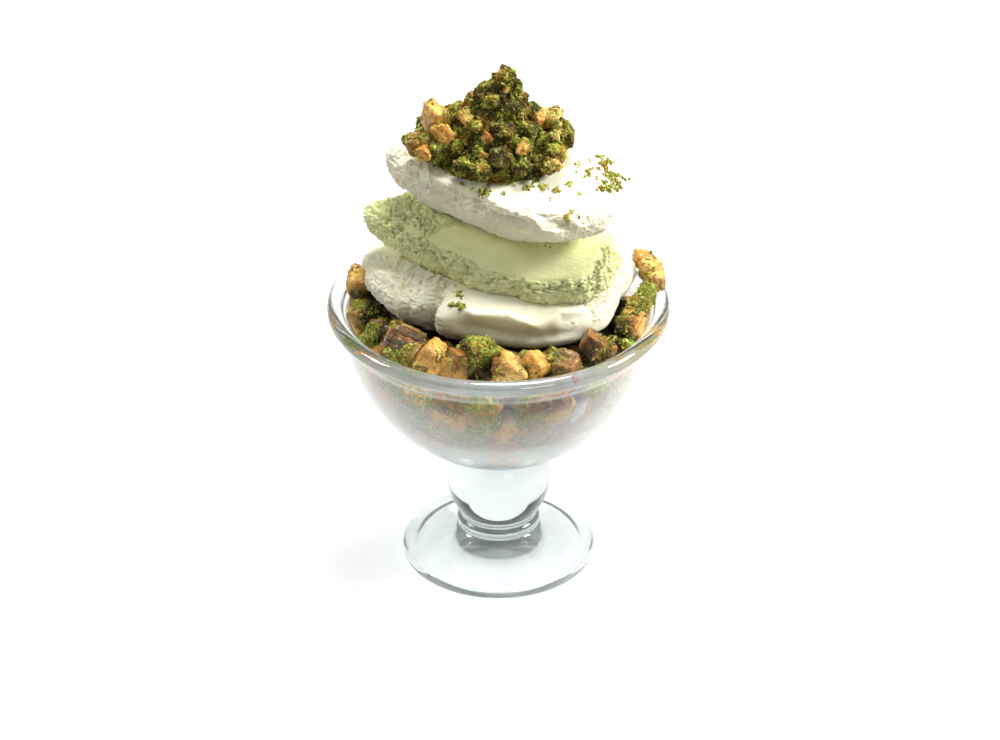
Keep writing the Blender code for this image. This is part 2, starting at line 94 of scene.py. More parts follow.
# Round stretches of the cup's section: first and last angle in degrees from +r towards +z, and points on it
BEAD_ARC = (170, -70, 22)
COLLAR_ARC = (65, -45, 9)
FOOT_ARC = (80, -90, 12)
HOLLOW_STEPS = 32
BOWL_STEPS = 30
BOWL_START = 0.17
BALL_STEPS = 24
TURN_STEPS = 192

# Chopped baklava, laid as in the solids
WALL_CLEARANCE = 0.6 * MM
GAP = 0.35 * MM
CHUNK = 11.5 * MM
BED_TOP_Z = 86.5 * MM
BED_CROWN = 1.5 * MM
BED_SEED = 11
SINK = Vector((0.0, 0.0, -0.8 * MM))
RISE = Vector((0.0, 0.0, 0.6 * MM))
INWARD_STEP = 0.2 * MM
TRIES_TO_LAY = 10
TRIES_AT_WALL = 40
UNEVEN_CORNERS = 0.12
RING_STRAY = 0.15
# Rings of chunks: (radius and height in mm, how many, sizes as shares of CHUNK, stray of the height in mm)
CHUNK_RINGS = [
    (10, 53, 4, (0.60, 0.80), 0.5),
    (21, 56, 9, (0.75, 0.95), 1.0),
    (31, 62, 12, (0.85, 1.10), 2.0),
    (39, 70, 15, (0.90, 1.15), 2.0),
    (43, 79, 17, (0.90, 1.15), 2.0),
    (43, 87, 20, (0.80, 1.10), 1.5),
    (34, 89, 9, (0.80, 1.15), 1.5),
    (46, 92, 16, (0.45, 0.70), 1.5),
]
# Chunks laid one by one: (middle, size in mm, turn)
PLACED_CHUNKS = [
    (metres(-6, -35, 94), 12.5, degrees(10, 15, 25)),
    (metres(-21, -36, 92), 10.0, degrees(30, 5, 60)),
    (metres(3, -42, 92), 9.5, degrees(5, 35, 10)),
    (metres(12, -41, 92), 8.0, degrees(25, 15, 50)),
    (metres(35, -27, 92), 9.5, degrees(15, 30, 35)),
    (metres(-45, 9, 97), 9.5, degrees(15, 10, 20)),
    (metres(33, 24, 86), 11.5, degrees(20, 10, 35)),
    (metres(25, 33, 88), 11.0, degrees(10, 25, 70)),
    (metres(40, 13, 87), 10.0, degrees(30, 15, 10)),
]
# The long piece on the rim, from its low to its high end, and the crumbs on it, sizes in mm
LEANING_CHUNK = (metres(39, -15, 89.0), metres(49.0, 1, 98.5), 6.0)
PERCHED_CHUNKS = [
    (metres(50.5, 5.0, 99.5), 6.0, degrees(3, 5, 12)),
    (metres(49.0, 10.0, 100.5), 6.5, degrees(5, 3, 50)),
    (metres(46.3, 16.8, 100.5), 5.5, degrees(4, 6, 20)),
]
# How each placed, leaning and perched chunk looks: (shade from brown to pale gold, ground pistachio on it)
PLACED_LOOKS = [
    (0.40, 0.62), (0.78, 0.03), (0.88, 0.02), (0.76, 0.0), (0.05, 0.45), (0.95, 0.02), (0.45, 0.40),
    (0.40, 0.50), (0.60, 0.60), (0.25, 0.90), (0.85, 0.10), (0.95, 0.0), (0.80, 0.15),
]
# Chunks that only show here: (middle, size in mm, look)
LOOSE_CHUNKS = [
    (metres(-44.0, 12.5, 93.5), 9.5, (0.85, 0.02)),
    (metres(-43.5, 0.0, 90.0), 8.0, (0.45, 0.60)),
    (metres(-38.0, -12.0, 88.5), 9.0, (0.15, 0.35)),
    (metres(-31.0, -25.0, 89.5), 8.5, (0.30, 0.45)),
    (metres(43.0, -10.5, 92.5), 7.0, (0.75, 0.10)),
    (metres(-13.5, -38.6, 93.0), 8.5, (0.50, 0.20)),
    (metres(21.0, -38.0, 91.5), 8.0, (0.10, 0.30)),
]
# The packed middle. CORE_CROWN: (share of the shoulder's radius, height)
CORE_INSET = 2.2 * MM
CORE_FOOT = [(0.0, HOLLOW_BASE_Z + GAP), (9.0 * MM, HOLLOW_BASE_Z + 1.2 * MM)]
CORE_SIDE_TOP_Z = BED_TOP_Z - 8.0 * MM
CORE_SHOULDER_Z = BED_TOP_Z - 5.0 * MM
CORE_CROWN = [(0.8, BED_TOP_Z), (0.5, BED_TOP_Z + BED_CROWN)]
CORE_STEPS = 160
CORE_NUT = 0.2
# Rows of chunks that show through the glass: (height, count, sizes in mm)
WALL_ROWS = [
    (56, 12, (8.0, 10.5)), (63, 19, (8.0, 11.0)), (70, 23, (8.5, 11.5)), (77, 25, (8.5, 11.5)),
    (84, 26, (8.0, 11.0)),
]
# How they stray round the bowl as a share of a step, up in mm, and in degrees. How far a row is turned for
# each mm of its height, what height on the axis they face away from, and how far inside the wall they are
WALL_STRAY = 0.25
WALL_STRAY_Z = 1.5
WALL_TILT = 14.0
WALL_TWIST = 0.7
WALL_AIM_Z = HOLLOW_TOP_Z + 4.0 * MM
WALL_INSIDE = (0.42, 0.62)
WALL_SHADES = (0.05, 0.85)
# What the chunks in rings and at the wall draw their shade and their share of ground pistachio from
# Ring chunks are drawn mostly dark: partly the pastry's own bake, partly painted shade for the gaps among
# them
RING_SHADE = 0.65
RING_NUTS = (0.05, 0.15, 0.4, 0.6, 0.85)
WALL_NUTS = (0.0, 0.2, 0.4, 0.6, 0.8, 1.0)
# Blocks: how sharp their edges are, steps along a side, and where the baked edge starts and ends on a side
BLOCK_POWER = 6.0
FINE_BLOCK = 14
PLAIN_BLOCK = 9
BAKED_EDGE = (0.30, 0.47)
# Pastry leaves across a block: how many show as painted shade between them, and how many as steps of this
# height
LEAVES = (7.0, 10.0)
LEAF = math.tau / 20.0
LEAF_STEPS = (3.0, 4.2)
LEAF_STEP = 0.18 * MM
LEAF_END = 0.49
# Relief on a block: full from this size up, less on bare pastry than on nut
FULL_RELIEF_SIZE = 9.0 * MM
BARE_RELIEF = 0.28
# How deep the core and the chunks are pressed into the glass, from what height up, and within what reach
CORE_PRESS = (0.06 * MM, 62.0 * MM, 9.0 * MM)
CHUNK_PRESS = (0.22 * MM, HOLLOW_BASE_Z, 3.5 * MM)
PRESS_FADE = 5.0 * MM
PRESS_FULL = 0.35
PRESS_BELOW = 0.08
PRESS_STEPS = 200
# Chunks that reach over SEEN_FROM_Z are made finer. Painted shade darkens the gaps from DEEP_FROM_Z down,
# away from the wall
SEEN_FROM_Z = 87.0 * MM
DEEP_FROM_Z = 97.0 * MM
DEEP_FALL = 4.5 * MM
DEEP_INSIDE = (2.5 * MM, 5.0 * MM)
DEEP_FACING = (-0.35, 0.15)
DEEP_STEPS = 60
# Ground pistachio on the bed: from what height up, how near the wall, and where it thins out
NUT_FROM_Z = 82.0 * MM
NUT_OFF_WALL = 2.0 * MM
NUT_OVER_RIM_Z = CUP_HEIGHT - 1.0 * MM
SPARSE_FROM_Z = 92.5 * MM
SPARSE_FALL = 7.0 * MM
SPARSE_LOSS = 0.8
BED_NUT_CLOUD = 6.0 * MM

# Heap of crumbs on the top slab
HEAP_X = -1.5 * MM
HEAP_LEAN = 4.0 * MM
HEAP_Y = 11.0 * MM
HEAP_LONG = 21.8 * MM
HEAP_WIDE = 16.0 * MM
HEAP_HEIGHT = 28.5 * MM
HEAP_SEED = 5
HEAP_SKIRT = 1.2 * MM
HEAP_SUNK = 0.2 * MM
HEAP_INSIDE = 0.96
HEAP_ROUND = 1.3
HEAP_ROUGH_FROM = 3.0 * MM
HEAP_AROUND = 180
HEAP_ACROSS = 100
# Peak: share of the height, and width. Shoulder: share of the height, and how square it is. Waves round the
# side: height, how many, and start
HEAP_PEAK = (0.46, 0.34)
HEAP_SHOULDER = (0.54, 2.4)
HEAP_WAVES = (0.12, 3, 1.0)
# Rings of larger crumbs: (share of the heap's radius, how many, smallest and largest in mm)
CRUMB_RINGS = [(1.0, 15, 4.5, 7.5), (0.78, 13, 3.5, 7.0), (0.55, 9, 3.0, 6.0), (0.3, 6, 3.0, 4.5)]
CRUMB_STRAY = 0.3
CRUMB_SUNK = 0.97
CRUMB_POWER = 3.6
UNEVEN_CRUMB = 0.24
BARE_AT_SIDE = 0.35
COATED_NUT = 0.95
BARE_NUT = 0.35
# Bare amber crumbs on the heap: (mm right of and above the picture's middle, size in mm, shade, nut on it)
AMBER_SPOTS = [
    (-20.5, 81.5, 9.0, 0.90, 0.25), (-19.0, 76.0, 6.0, 0.70, 0.30), (-27.0, 74.0, 5.5, 0.25, 0.25),
    (-24.0, 70.5, 4.5, 0.60, 0.20), (-9.0, 87.5, 4.0, 0.85, 0.30), (-11.5, 82.0, 5.0, 0.90, 0.35),
    (14.5, 80.0, 7.0, 1.0, 0.40), (17.5, 75.5, 4.0, 1.0, 0.30), (21.5, 82.0, 5.0, 0.45, 0.30),
    (24.0, 68.5, 7.0, 0.75, 0.05), (16.5, 66.5, 5.0, 1.0, 0.42), (-4.0, 74.5, 4.5, 0.05, 0.30),
    (7.0, 71.5, 4.5, 0.70, 0.40), (1.0, 91.0, 2.5, 0.5, 0.40), (9.5, 90.0, 3.5, 0.35, 0.40),
]
AMBER_OUT = 0.15
HEAP_NUT_CLOUD = 5.0 * MM

# Relief: what its inputs are called, and how fine its noise is
RELIEF_INPUTS = ("Lump Size", "Lump Height", "Crag Size", "Crag Height", "Grit Size", "Grit Height")
LUMP_DETAIL = 3.0
CRAG_DETAIL = 4.0
GRIT_DETAIL = 1.0
RELIEF_ROUGHNESS = 0.6
CRAG_MIDDLE = 0.18
LEVEL_PER_METRE = 0.8 / MM
# Size and height in mm of the lumps, crags and grit. The slabs give the heights of their own crags and grit
CORE_RELIEF = (7.0, 5.0, 2.5, 2.0, 1.2, 1.0)
CHUNK_RELIEF = (4.5, 4.0, 2.4, 2.2, 1.0, 1.3)
HEAP_RELIEF = (5.5, 10.5, 2.6, 5.5, 1.2, 1.5)
CRUMB_RELIEF = (3.0, 3.4, 1.6, 1.6, 0.8, 0.9)
SLAB_RELIEF_SIZES = (6.0, 3.2, 0.9)
SLAB_LUMPS = 3.0

# Scattered ground nut: its grains, and what is added to the seed for each grain's size, form and shade
GRAIN_SIDES = 5
GRAIN_STRETCH = (0.65, 1.35)
MOST_PER_SQUARE_METRE = 3000000.0
SIZE_SEED = 7.0
FORM_SEED = 13.0
SHADE_SEED = 19.0
# Closest spacing, smallest and largest grain in mm, and seed
BED_GRAINS = (0.66, 0.5, 1.4, 4)
HEAP_GRAINS = [("heap_grains", (0.66, 0.5, 1.4, 9)), ("heap_dust", (0.55, 0.4, 0.8, 10))]
CLUMP_GRAINS = (0.40, 0.4, 1.1, 6)

# Slabs of ice cream, as in the solids. "half" is half the size each way, and "curl" how far the ends and the
# sides bend up. "waves" shape the outline as (cosine, sine), from two waves round it upwards, and "folds"
# notch it as (direction in degrees, depth as a share, width in degrees). "crags" and "grit" are heights of
# relief in mm. "torn" lists patches of rough surface as middle and half width in degrees round the slab, and
# lowest and highest level, from -1 underneath to 1 on top. "strokes" lists the ridges and hollows that the
# spatula left, as (degrees, level) along them, width and height in mm
SLABS = {
    "plain_slab_lower": {
        "middle": metres(1.6, 5.9, 99.0),
        "turn": degrees(3.5, 1.5, -7.0),
        "half": (44.6 * MM, 29.5 * MM, 7.5 * MM),
        "curl": (1.0 * MM, -2.0 * MM),
        "belly": 8.0 * MM,
        "waves": [(0.0, 0.02), (-0.05, 0.04), (-0.04, 0.0)],
        "folds": [(-121.0, 0.10, 5.0), (44.0, 0.14, 16.0), (-5.0, 0.035, 16.0)],
        "seed": 3.0,
        "undercut": 0.0,
        "crags": 1.9,
        "grit": 1.7,
        "torn": [(-150.0, 34.0, -0.85, 0.98), (-20.0, 30.0, 0.10, 0.70)],
        "strokes": [
            ([(-112, 0.62), (-98, 0.50), (-84, 0.58), (-72, 0.36), (-60, 0.60), (-42, 0.50)], 1.6, 1.8),
            ([(-108, 0.20), (-90, 0.10), (-72, 0.02), (-52, 0.15)], 2.2, -1.5),
            ([(-124, 0.85), (-120, 0.50), (-119, 0.0), (-120, -0.4)], 1.4, -2.0),
            ([(-135, 0.50), (-150, 0.55), (-168, 0.40)], 1.6, 1.2),
        ],
    },
    "pistachio_slab": {
        "middle": metres(0.8, 6.0, 114.0),
        "turn": degrees(14.8, 6.3, -12.4),
        "half": (45.4 * MM, 17.7 * MM, 6.0 * MM),
        "curl": (3.0 * MM, -3.0 * MM),
        "belly": 5.0 * MM,
        "waves": [(-0.12, -0.05), (-0.04, -0.04), (0.01, 0.06)],
        "folds": [],
        "seed": 8.0,
        "undercut": 0.0,
        "crags": 3.8,
        "grit": 3.2,
        "torn": [(-100.0, 102.0, -0.55, 0.60), (-172.0, 34.0, -0.55, 0.99)],
        "strokes": [
            ([(-175, 0.75), (-150, 0.70), (-120, 0.72), (-90, 0.70), (-60, 0.66), (-30, 0.6)], 1.6, 0.5),
            ([(-165, -0.45), (-140, -0.5), (-110, -0.5), (-80, -0.5), (-50, -0.45)], 0.9, 0.5),
        ],
    },
    "plain_slab_upper": {
        "middle": metres(4.9, 8.3, 134.0),
        "turn": degrees(5.3, 7.6, -11.6),
        "half": (39.2 * MM, 21.3 * MM, 7.5 * MM),
        "curl": (0.0 * MM, -1.0 * MM),
        "belly": 11.0 * MM,
        "waves": [(-0.04, 0.0), (-0.07, -0.02), (-0.01, 0.02)],
        "folds": [(-75.0, 0.05, 6.0), (-140.0, 0.04, 5.0), (50.0, -0.2, 22.0)],
        "seed": 14.0,
        "undercut": 0.75,
        "crags": 2.1,
        "grit": 1.7,
        "torn": [(-125.0, 95.0, -0.95, 0.50), (-178.0, 36.0, -0.95, 0.75)],
        "strokes": [
            ([(-100, 0.55), (-88, 0.40), (-76, 0.22), (-66, -0.05), (-58, -0.30)], 1.5, 1.8),
            ([(-92, 0.12), (-82, -0.02), (-74, -0.25)], 2.0, -2.3),
            ([(-150, 0.50), (-135, 0.45), (-120, 0.50), (-105, 0.58)], 1.5, 1.2),
            ([(-140, -0.1), (-120, -0.15), (-104, -0.1)], 2.0, -1.3),
            ([(-104, 0.50), (-101, 0.20), (-103, -0.15)], 1.1, -1.1),
            ([(-70, 0.55), (-58, 0.35), (-50, 0.10)], 1.4, 1.0),
        ],
    },
}
SLAB_AROUND = 470
SLAB_ACROSS = 200
SLAB_GAP = 0.15 * MM
# How square a slab is seen from above and from the side
SLAB_ROUND_POWER = 0.62
SLAB_SIDE_POWER = 0.75
# Its rough edge: height, and the sizes of its large and small lumps
SLAB_ROUGH = 0.9 * MM
SLAB_LARGE_LUMP = 9.0 * MM
SLAB_SMALL_LUMP = 4.5 * MM
SLAB_SMALL_SHARE = 0.6
SLAB_SMOOTH_RELIEF = 0.08
# The undercut's direction, half width and fade, in degrees
UNDERCUT_AT = -90.0
UNDERCUT_HALF = 80.0
UNDERCUT_FADE = 45.0
# Torn patches: how far their edges wander and how soft they are, in degrees and as level
TORN_CLOUD = 5.0 * MM
TORN_WANDER = 14.0
TORN_EDGE = 4.0
TORN_LEVEL_WANDER = 0.12
TORN_LEVEL_EDGE = 0.04
# Points along a stroke for each of its places, and how much of its ends fades out
STROKE_STEPS = 12
STROKE_FADE = 0.7

# Clumps of ground nut on the slabs: (mm right of and above the picture's middle, size in mm)
UPPER_CRUMBS = [
    (-5.2, 57.7, 3.2), (14.6, 59.0, 2.6), (18.2, 58.4, 2.4), (22.7, 60.3, 2.2), (28.0, 64.2, 2.8),
    (21.5, 49.5, 3.0), (3.5, 60.5, 2.2), (9.0, 59.5, 2.2), (-1.0, 61.5, 2.4), (-20.0, 66.8, 1.8),
    (-16.5, 65.2, 2.2), (-13.0, 64.0, 1.8), (-10.0, 62.6, 2.4), (-6.5, 61.6, 1.8), (-3.5, 60.6, 2.0),
    (6.0, 61.6, 1.8), (12.0, 61.0, 2.0), (-12.5, 60.5, 1.2), (-8.5, 58.6, 1.2), (1.0, 57.2, 1.2),
    (25.5, 66.5, 1.6), (29.0, 67.5, 1.4), (16.0, 55.5, 1.2), (26.0, 57.0, 1.2),
]
CLUSTER = [
    (32.5, 69.0, 2.2), (33.5, 66.5, 2.6), (35.0, 64.5, 3.0), (36.5, 62.5, 3.4), (34.0, 61.0, 3.2),
    (38.0, 60.0, 3.2), (36.0, 58.8, 3.0), (33.0, 58.5, 2.4), (39.5, 62.5, 2.4), (35.0, 67.5, 2.0),
]
LOWER_CRUMBS = [(-14.5, 21.0, 3.4), (-13.0, 24.5, 2.0)]
# Each clump: lumps in it, how far they spread, seen flattened, and their radius, as shares of its size
CLUMP_LUMPS = 9
CLUMP_SPREAD = 0.36
CLUMP_FLAT = 0.7
CLUMP_RADIUS = (0.12, 0.30)
CLUMP_BALL = (8, 5)

# Camera: as the photograph was taken. SKY_Z is over everything
CAMERA_TARGET = metres(0.5, 0.0, 68.8)
CAMERA_ELEVATION = math.radians(30.7)
CAMERA_DISTANCE = 1.171
CAMERA_LENS = 130.0
SENSOR_WIDTH = 36.0
FAR_CLIP = 20.0
SKY_Z = 1.0

# Soft square lights: (name, place, side, power in watts)
LIGHTS = [
    ("top_light", (0.10, 0.22, 1.20), 0.4, 14.0),
    ("key_light", (0.95, 0.05, 0.72), 0.3, 15.5),
    ("left_light", (-0.90, 0.10, 0.75), 0.3, 4.3),
    ("front_light", (0.45, -0.95, 0.60), 0.4, 0.8),
]
FLOOR_REACH = 3.0

# ---------------------------------------------------------------- colours and looks

# Glass, and its frost by height: (share of FROST_SPAN, how frosted)
GLASS_COLOUR = (0.975, 0.99, 0.985)
GLASS_LAMP_SHADE = (0.84, 0.87, 0.87)
GLASS_DEPTH_SHADE = (0.74, 0.78, 0.775)
GLASS_DENSITY = 54.0
GLASS_RIPPLE = 22.0 * MM
GLASS_RIPPLE_HEIGHT = 0.12 * MM
FROST_WHITE = 0.38
FROST_MIRROR = 0.30
FROST_BLUR = 0.25
FROST_SPAN = 0.1
FROST_BY_HEIGHT = [
    (0.0, 0.28), (0.09, 0.22), (0.13, 0.0), (0.40, 0.0), (0.45, 0.85), (0.59, 0.65), (0.66, 0.07),
    (0.86, 0.02), (0.90, 0.40), (1.0, 0.40),
]
FROST_CLOUD = 15.0 * MM
FROST_STREAK = 16.0 * MM
FROST_FLATTENED = (1.0, 1.0, 8.0)
# Glass seen edge on is frosted between these heights, and the rim's left and right sides stay clear
EDGE_FROST = 0.85
EDGE_FACING = (0.26, 0.70)
EDGE_FOOT_Z = (40.0 * MM, 46.0 * MM)
EDGE_TOP_Z = (91.0 * MM, 86.0 * MM)
RIM_CLEAR = 0.9
RIM_CLEAR_X = (28.0 * MM, 48.0 * MM)
RIM_CLEAR_Z = (88.0 * MM, 91.0 * MM)
# A round patch of even frost on the bowl's right
FROST_PATCH = (30.0 * MM, -37.0 * MM, 74.0 * MM)
FROST_PATCH_EDGE = (8.5 * MM, 7.5 * MM)
FROST_PATCH_SHARE = 0.5

# Ice cream: (pale, painted shade in the pits, flecks of nut), and how large its flecks get
# The pit colour also shows in random clouds, as the cream's own tone
PLAIN_SHADES = ((0.97, 0.93, 0.75), (0.88, 0.77, 0.47), (0.45, 0.47, 0.15))
PLAIN_FLECKS = 0.10
PISTACHIO_SHADES = ((0.94, 0.96, 0.56), (0.73, 0.75, 0.27), (0.22, 0.24, 0.04))
PISTACHIO_FLECKS = 0.28
CREAM_CLOUD = 9.0 * MM
CREAM_GLOW = 1.5 * MM
FLECK_SPACING = 2.6 * MM
FLECK_CLOUD = 5.0 * MM
FLECK_LEAST = 0.02
FLECK_EDGE = 0.08
FIBRE = 0.9 * MM
FIBRE_HEIGHT = 0.6 * MM
FIBRE_TURN = (0.3, 0.5, 0.6)
FIBRE_DRAWN = (0.45, 1.0, 1.0)
SATIN_ROUGHNESS = 0.42
TORN_ROUGHNESS = 0.75

# Baklava, from its darkest to its palest shade, and how far light soaks in
PASTRY_SHADES = [
    (0.0, (0.045, 0.020, 0.003)),
    (0.35, (0.27, 0.11, 0.014)),
    (0.7, (0.88, 0.48, 0.075)),
    (1.0, (0.99, 0.72, 0.24)),
]
PASTRY_GLOW = 1.8 * MM
AMBER_SHADES = [
    (0.0, (0.30, 0.12, 0.012)),
    (0.4, (0.62, 0.28, 0.030)),
    (0.8, (0.93, 0.56, 0.085)),
    (1.0, (0.98, 0.74, 0.22)),
]
AMBER_GLOW = 2.6 * MM
NUT_DUST = [
    (0.3, (0.040, 0.045, 0.005)),
    (0.45, (0.13, 0.15, 0.015)),
    (0.60, (0.33, 0.35, 0.05)),
    (0.75, (0.55, 0.52, 0.15)),
]
# Painted shade between the pastry's leaves and in the pits of its relief
LEAF_GAP_SHADE = (0.30, 0.12, 0.018)
PASTRY_PIT_SHADE = (0.10, 0.04, 0.008)
SCORCHED = (0.44, 0.17, 0.020)
BUTTERY = (0.92, 0.74, 0.30)
# Painted shade: near black laid over the baklava in the deep gaps of the bed
PAINTED_GAP_SHADE = (0.026, 0.013, 0.003)
PAINTED_GAP_SHARE = 0.94
SYRUP = 0.35
PASTRY_MOTTLE = 1.6 * MM
PASTRY_MOTTLE_HEIGHT = 0.5 * MM
LEAF_BUMP = 0.18 * MM
SCORCH_PATCH = 4.5 * MM
BUTTER_PATCH = 1.3 * MM
DUST_PATCH = 1.0 * MM

# Ground nut, from its darkest to its palest green grain, with a few crumbs of pastry among it
GREEN_GRAINS = [
    (0.0, (0.090, 0.085, 0.008)),
    (0.15, (0.220, 0.230, 0.016)),
    (0.45, (0.430, 0.460, 0.045)),
    (0.75, (0.660, 0.690, 0.140)),
    (0.90, (0.860, 0.870, 0.340)),
    (0.94, (0.700, 0.400, 0.080)),
    (1.0, (0.300, 0.120, 0.020)),
]
NUT_ROUGHNESS = 0.75
NUT_GLOW_SHARE = 0.2
NUT_GLOW = 1.0 * MM
NUT_MOTTLE = 0.9 * MM
NUT_BUMP = 0.5 * MM
NUT_BUMP_HEIGHT = 0.2 * MM
BAKED_NUT = (0.46, 0.21, 0.028)
BAKED_PATCH = 5.5 * MM
BAKED_OFFSET = (0.11, 0.07, 0.05)
# Near-black patches laid at random by noise: their colour and size, and how dark they get on the heap and on
# the clumps
NUT_DARK_PATCH = (0.020, 0.013, 0.002)
NUT_DARK_PATCH_SIZE = 4.2 * MM
HEAP_DARK_PATCHES = 0.85
CLUMP_DARK_PATCHES = 0.15

# Studio: the floor's two shades, its light and how strongly it glows
FLOOR_SHADES = ((0.45, 0.447, 0.44), (0.47, 0.467, 0.46))
FLOOR_CLOUD = 0.3
FLOOR_LIGHT = (1.0, 0.995, 0.985)
FLOOR_GLOW = 0.56
# Studio walls from below to above, and how strongly they glow: all round, behind, in front and on the food
STUDIO_SHADES = [
    (0.0, (0.95, 0.96, 0.96)), (0.25, (0.90, 0.92, 0.93)),
    (0.6, (0.55, 0.60, 0.62)), (1.0, (0.80, 0.82, 0.83)),
]
WALL_GLOW = 0.95
BACK_GLOW = 0.10
BACK_FADE = (0.30, 0.80)
FRONT_GLOW = 0.50
FRONT_FADE = (-0.35, -0.85)
FOOD_GLOW = 0.13


# ---------------------------------------------------------------- meshes

def mesh_object(name, points, faces):
    """An object of these points and faces, linked to the scene."""
    mesh = bpy.data.meshes.new(name)
    mesh.from_pydata([tuple(p) for p in points], [], [tuple(f) for f in faces])
    mesh.validate()
    obj = bpy.data.objects.new(name, mesh)
    bpy.context.scene.collection.objects.link(obj)
    return obj


def ball_grid(around, across):
    """Unit directions and faces of a ball: rings from the top down, and then the two poles."""
    down = (np.arange(1, across) * math.pi / across)[:, None]
    turns = (np.arange(around) * math.tau / around)[None, :]
    rings = np.stack([
        np.sin(down) * np.cos(turns), np.sin(down) * np.sin(turns), np.cos(down) + 0.0 * turns,
    ], axis=2)
    points = np.concatenate([rings.reshape(-1, 3), [[0.0, 0.0, 1.0], [0.0, 0.0, -1.0]]])
    top, bottom, last = len(points) - 2, len(points) - 1, (across - 2) * around
    faces = []
    for step in range(around):
        beside = (step + 1) % around
        faces.append((top, step, beside))
        faces.append((bottom, last + beside, last + step))
        for ring in range(0, last, around):
            faces.append((ring + step, ring + around + step, ring + around + beside, ring + beside))
    return points, faces


def noise_at(points, size, offset):
    """Soft noise of lumps of this size at each point."""
    shift = Vector(offset)
    return np.array([noise.noise(Vector(point) / size + shift) for point in points])


def settled(obj, name):
    """obj with its modifiers applied, as a new plain object. obj is removed."""
    bpy.context.view_layer.update()
    graph = bpy.context.evaluated_depsgraph_get()
    mesh = bpy.data.meshes.new_from_object(obj.evaluated_get(graph))
    old = obj.data
    bpy.data.objects.remove(obj)
    bpy.data.meshes.remove(old)
    mesh.name = name
    made = bpy.data.objects.new(name, mesh)
    bpy.context.scene.collection.objects.link(made)
    return made


def smooth(obj):
    """Shades obj smooth."""
    obj.data.polygons.foreach_set("use_smooth", [True] * len(obj.data.polygons))
    return obj


def coordinates(obj):
    """The points of obj's mesh as an array."""
    points = np.empty(len(obj.data.vertices) * 3, np.float64)
    obj.data.vertices.foreach_get("co", points)
    return points.reshape(-1, 3)


def move_points(obj, points):
    """Gives obj's mesh these points."""
    obj.data.vertices.foreach_set("co", np.asarray(points, np.float32).ravel())
    obj.data.update()


def point_value(obj, name, values):
    """Stores a number on each point of obj, for its material or its Geometry Nodes."""
    attribute = obj.data.attributes.new(name, "FLOAT", "POINT")
    attribute.data.foreach_set("value", np.asarray(values, np.float32))


def values_of(obj, name):
    """The numbers stored on each point of obj under this name."""
    values = np.empty(len(obj.data.vertices), np.float32)
    obj.data.attributes[name].data.foreach_get("value", values)
    return values


def joined_copy(name, pieces):
    """One new mesh of all the pieces, with their ground nut on its points."""
    points, faces, nut = [], [], []
    start = 0
    for piece in pieces:
        here = coordinates(piece)
        points.append(here)
        nut.append(values_of(piece, "nut"))
        faces += [[start + v for v in polygon.vertices] for polygon in piece.data.polygons]
        start += len(here)
    obj = mesh_object(name, np.concatenate(points), faces)
    point_value(obj, "nut", np.concatenate(nut))
    return obj


def copy_of(obj):
    """A copy of obj with a mesh of its own."""
    copy = bpy.data.objects.new(obj.name, obj.data.copy())
    bpy.context.scene.collection.objects.link(copy)
    return copy


def facing_out(obj):
    """Turns every face of a closed mesh outwards."""
    bm = bmesh.new()
    bm.from_mesh(obj.data)
    bmesh.ops.recalc_face_normals(bm, faces=bm.faces)
    bm.to_mesh(obj.data)
    bm.free()


def surface_of(obj):
    """A search tree of obj's mesh."""
    mesh = obj.data
    return BVHTree.FromPolygons([v.co for v in mesh.vertices], [tuple(p.vertices) for p in mesh.polygons])


def top_of(tree, x, y):
    """The height of the surface under the sky at (x, y), or None."""
    hit = tree.ray_cast(Vector((x, y, SKY_Z)), Vector((0, 0, -1)))[0]
    return hit.z if hit else None


def towards_camera():
    """The direction from the cup to the camera."""
    return Vector((0.0, -math.cos(CAMERA_ELEVATION), math.sin(CAMERA_ELEVATION)))


def seen_at(tree, right, up):
    """Where the surface shows at this place in the picture, from its middle, and its normal, or None."""
    over = Vector((0.0, math.sin(CAMERA_ELEVATION), math.cos(CAMERA_ELEVATION)))
    eye = CAMERA_TARGET + towards_camera() * CAMERA_DISTANCE
    aim = CAMERA_TARGET + Vector((right, 0.0, 0.0)) + over * up
    place, normal = tree.ray_cast(eye, aim - eye)[:2]
    return (place, normal) if place else None


def rest_on(obj, tree, gap):
    """Lifts the points of obj that would be in or too near the surface to a gap above it."""
    for vertex in obj.data.vertices:
        height = top_of(tree, vertex.co.x, vertex.co.y)
        if height is not None and vertex.co.z < height + gap:
            vertex.co.z = height + gap


def soft_step(value, low, high):
    """0 below low, 1 above high, and a smooth rise between them."""
    share = np.clip((value - low) / (high - low), 0.0, 1.0)
    return share * share * (3.0 - 2.0 * share)


def degrees_off(angles, direction):
    """How far the angles, in degrees, are from a direction, from -180 to 180."""
    return (angles - direction + 180.0) % 360.0 - 180.0


# ---------------------------------------------------------------- node trees

def add_node(tree, kind, settings=None, inputs=None):
    """A node with its settings, and its inputs as values or as other nodes' output sockets."""
    node = tree.nodes.new(kind)
    for name, value in (settings or {}).items():
        setattr(node, name, value)
    for key, value in (inputs or {}).items():
        if isinstance(value, bpy.types.NodeSocket):
            tree.links.new(value, node.inputs[key])
        else:
            node.inputs[key].default_value = value
    return node


def maths(tree, operation, *values, clamp=False):
    """The output of a Math node."""
    settings = {"operation": operation, "use_clamp": clamp}
    return add_node(tree, "ShaderNodeMath", settings, dict(enumerate(values))).outputs[0]


def vector_maths(tree, operation, inputs):
    """A Vector Math node with these inputs."""
    return add_node(tree, "ShaderNodeVectorMath", {"operation": operation}, inputs)


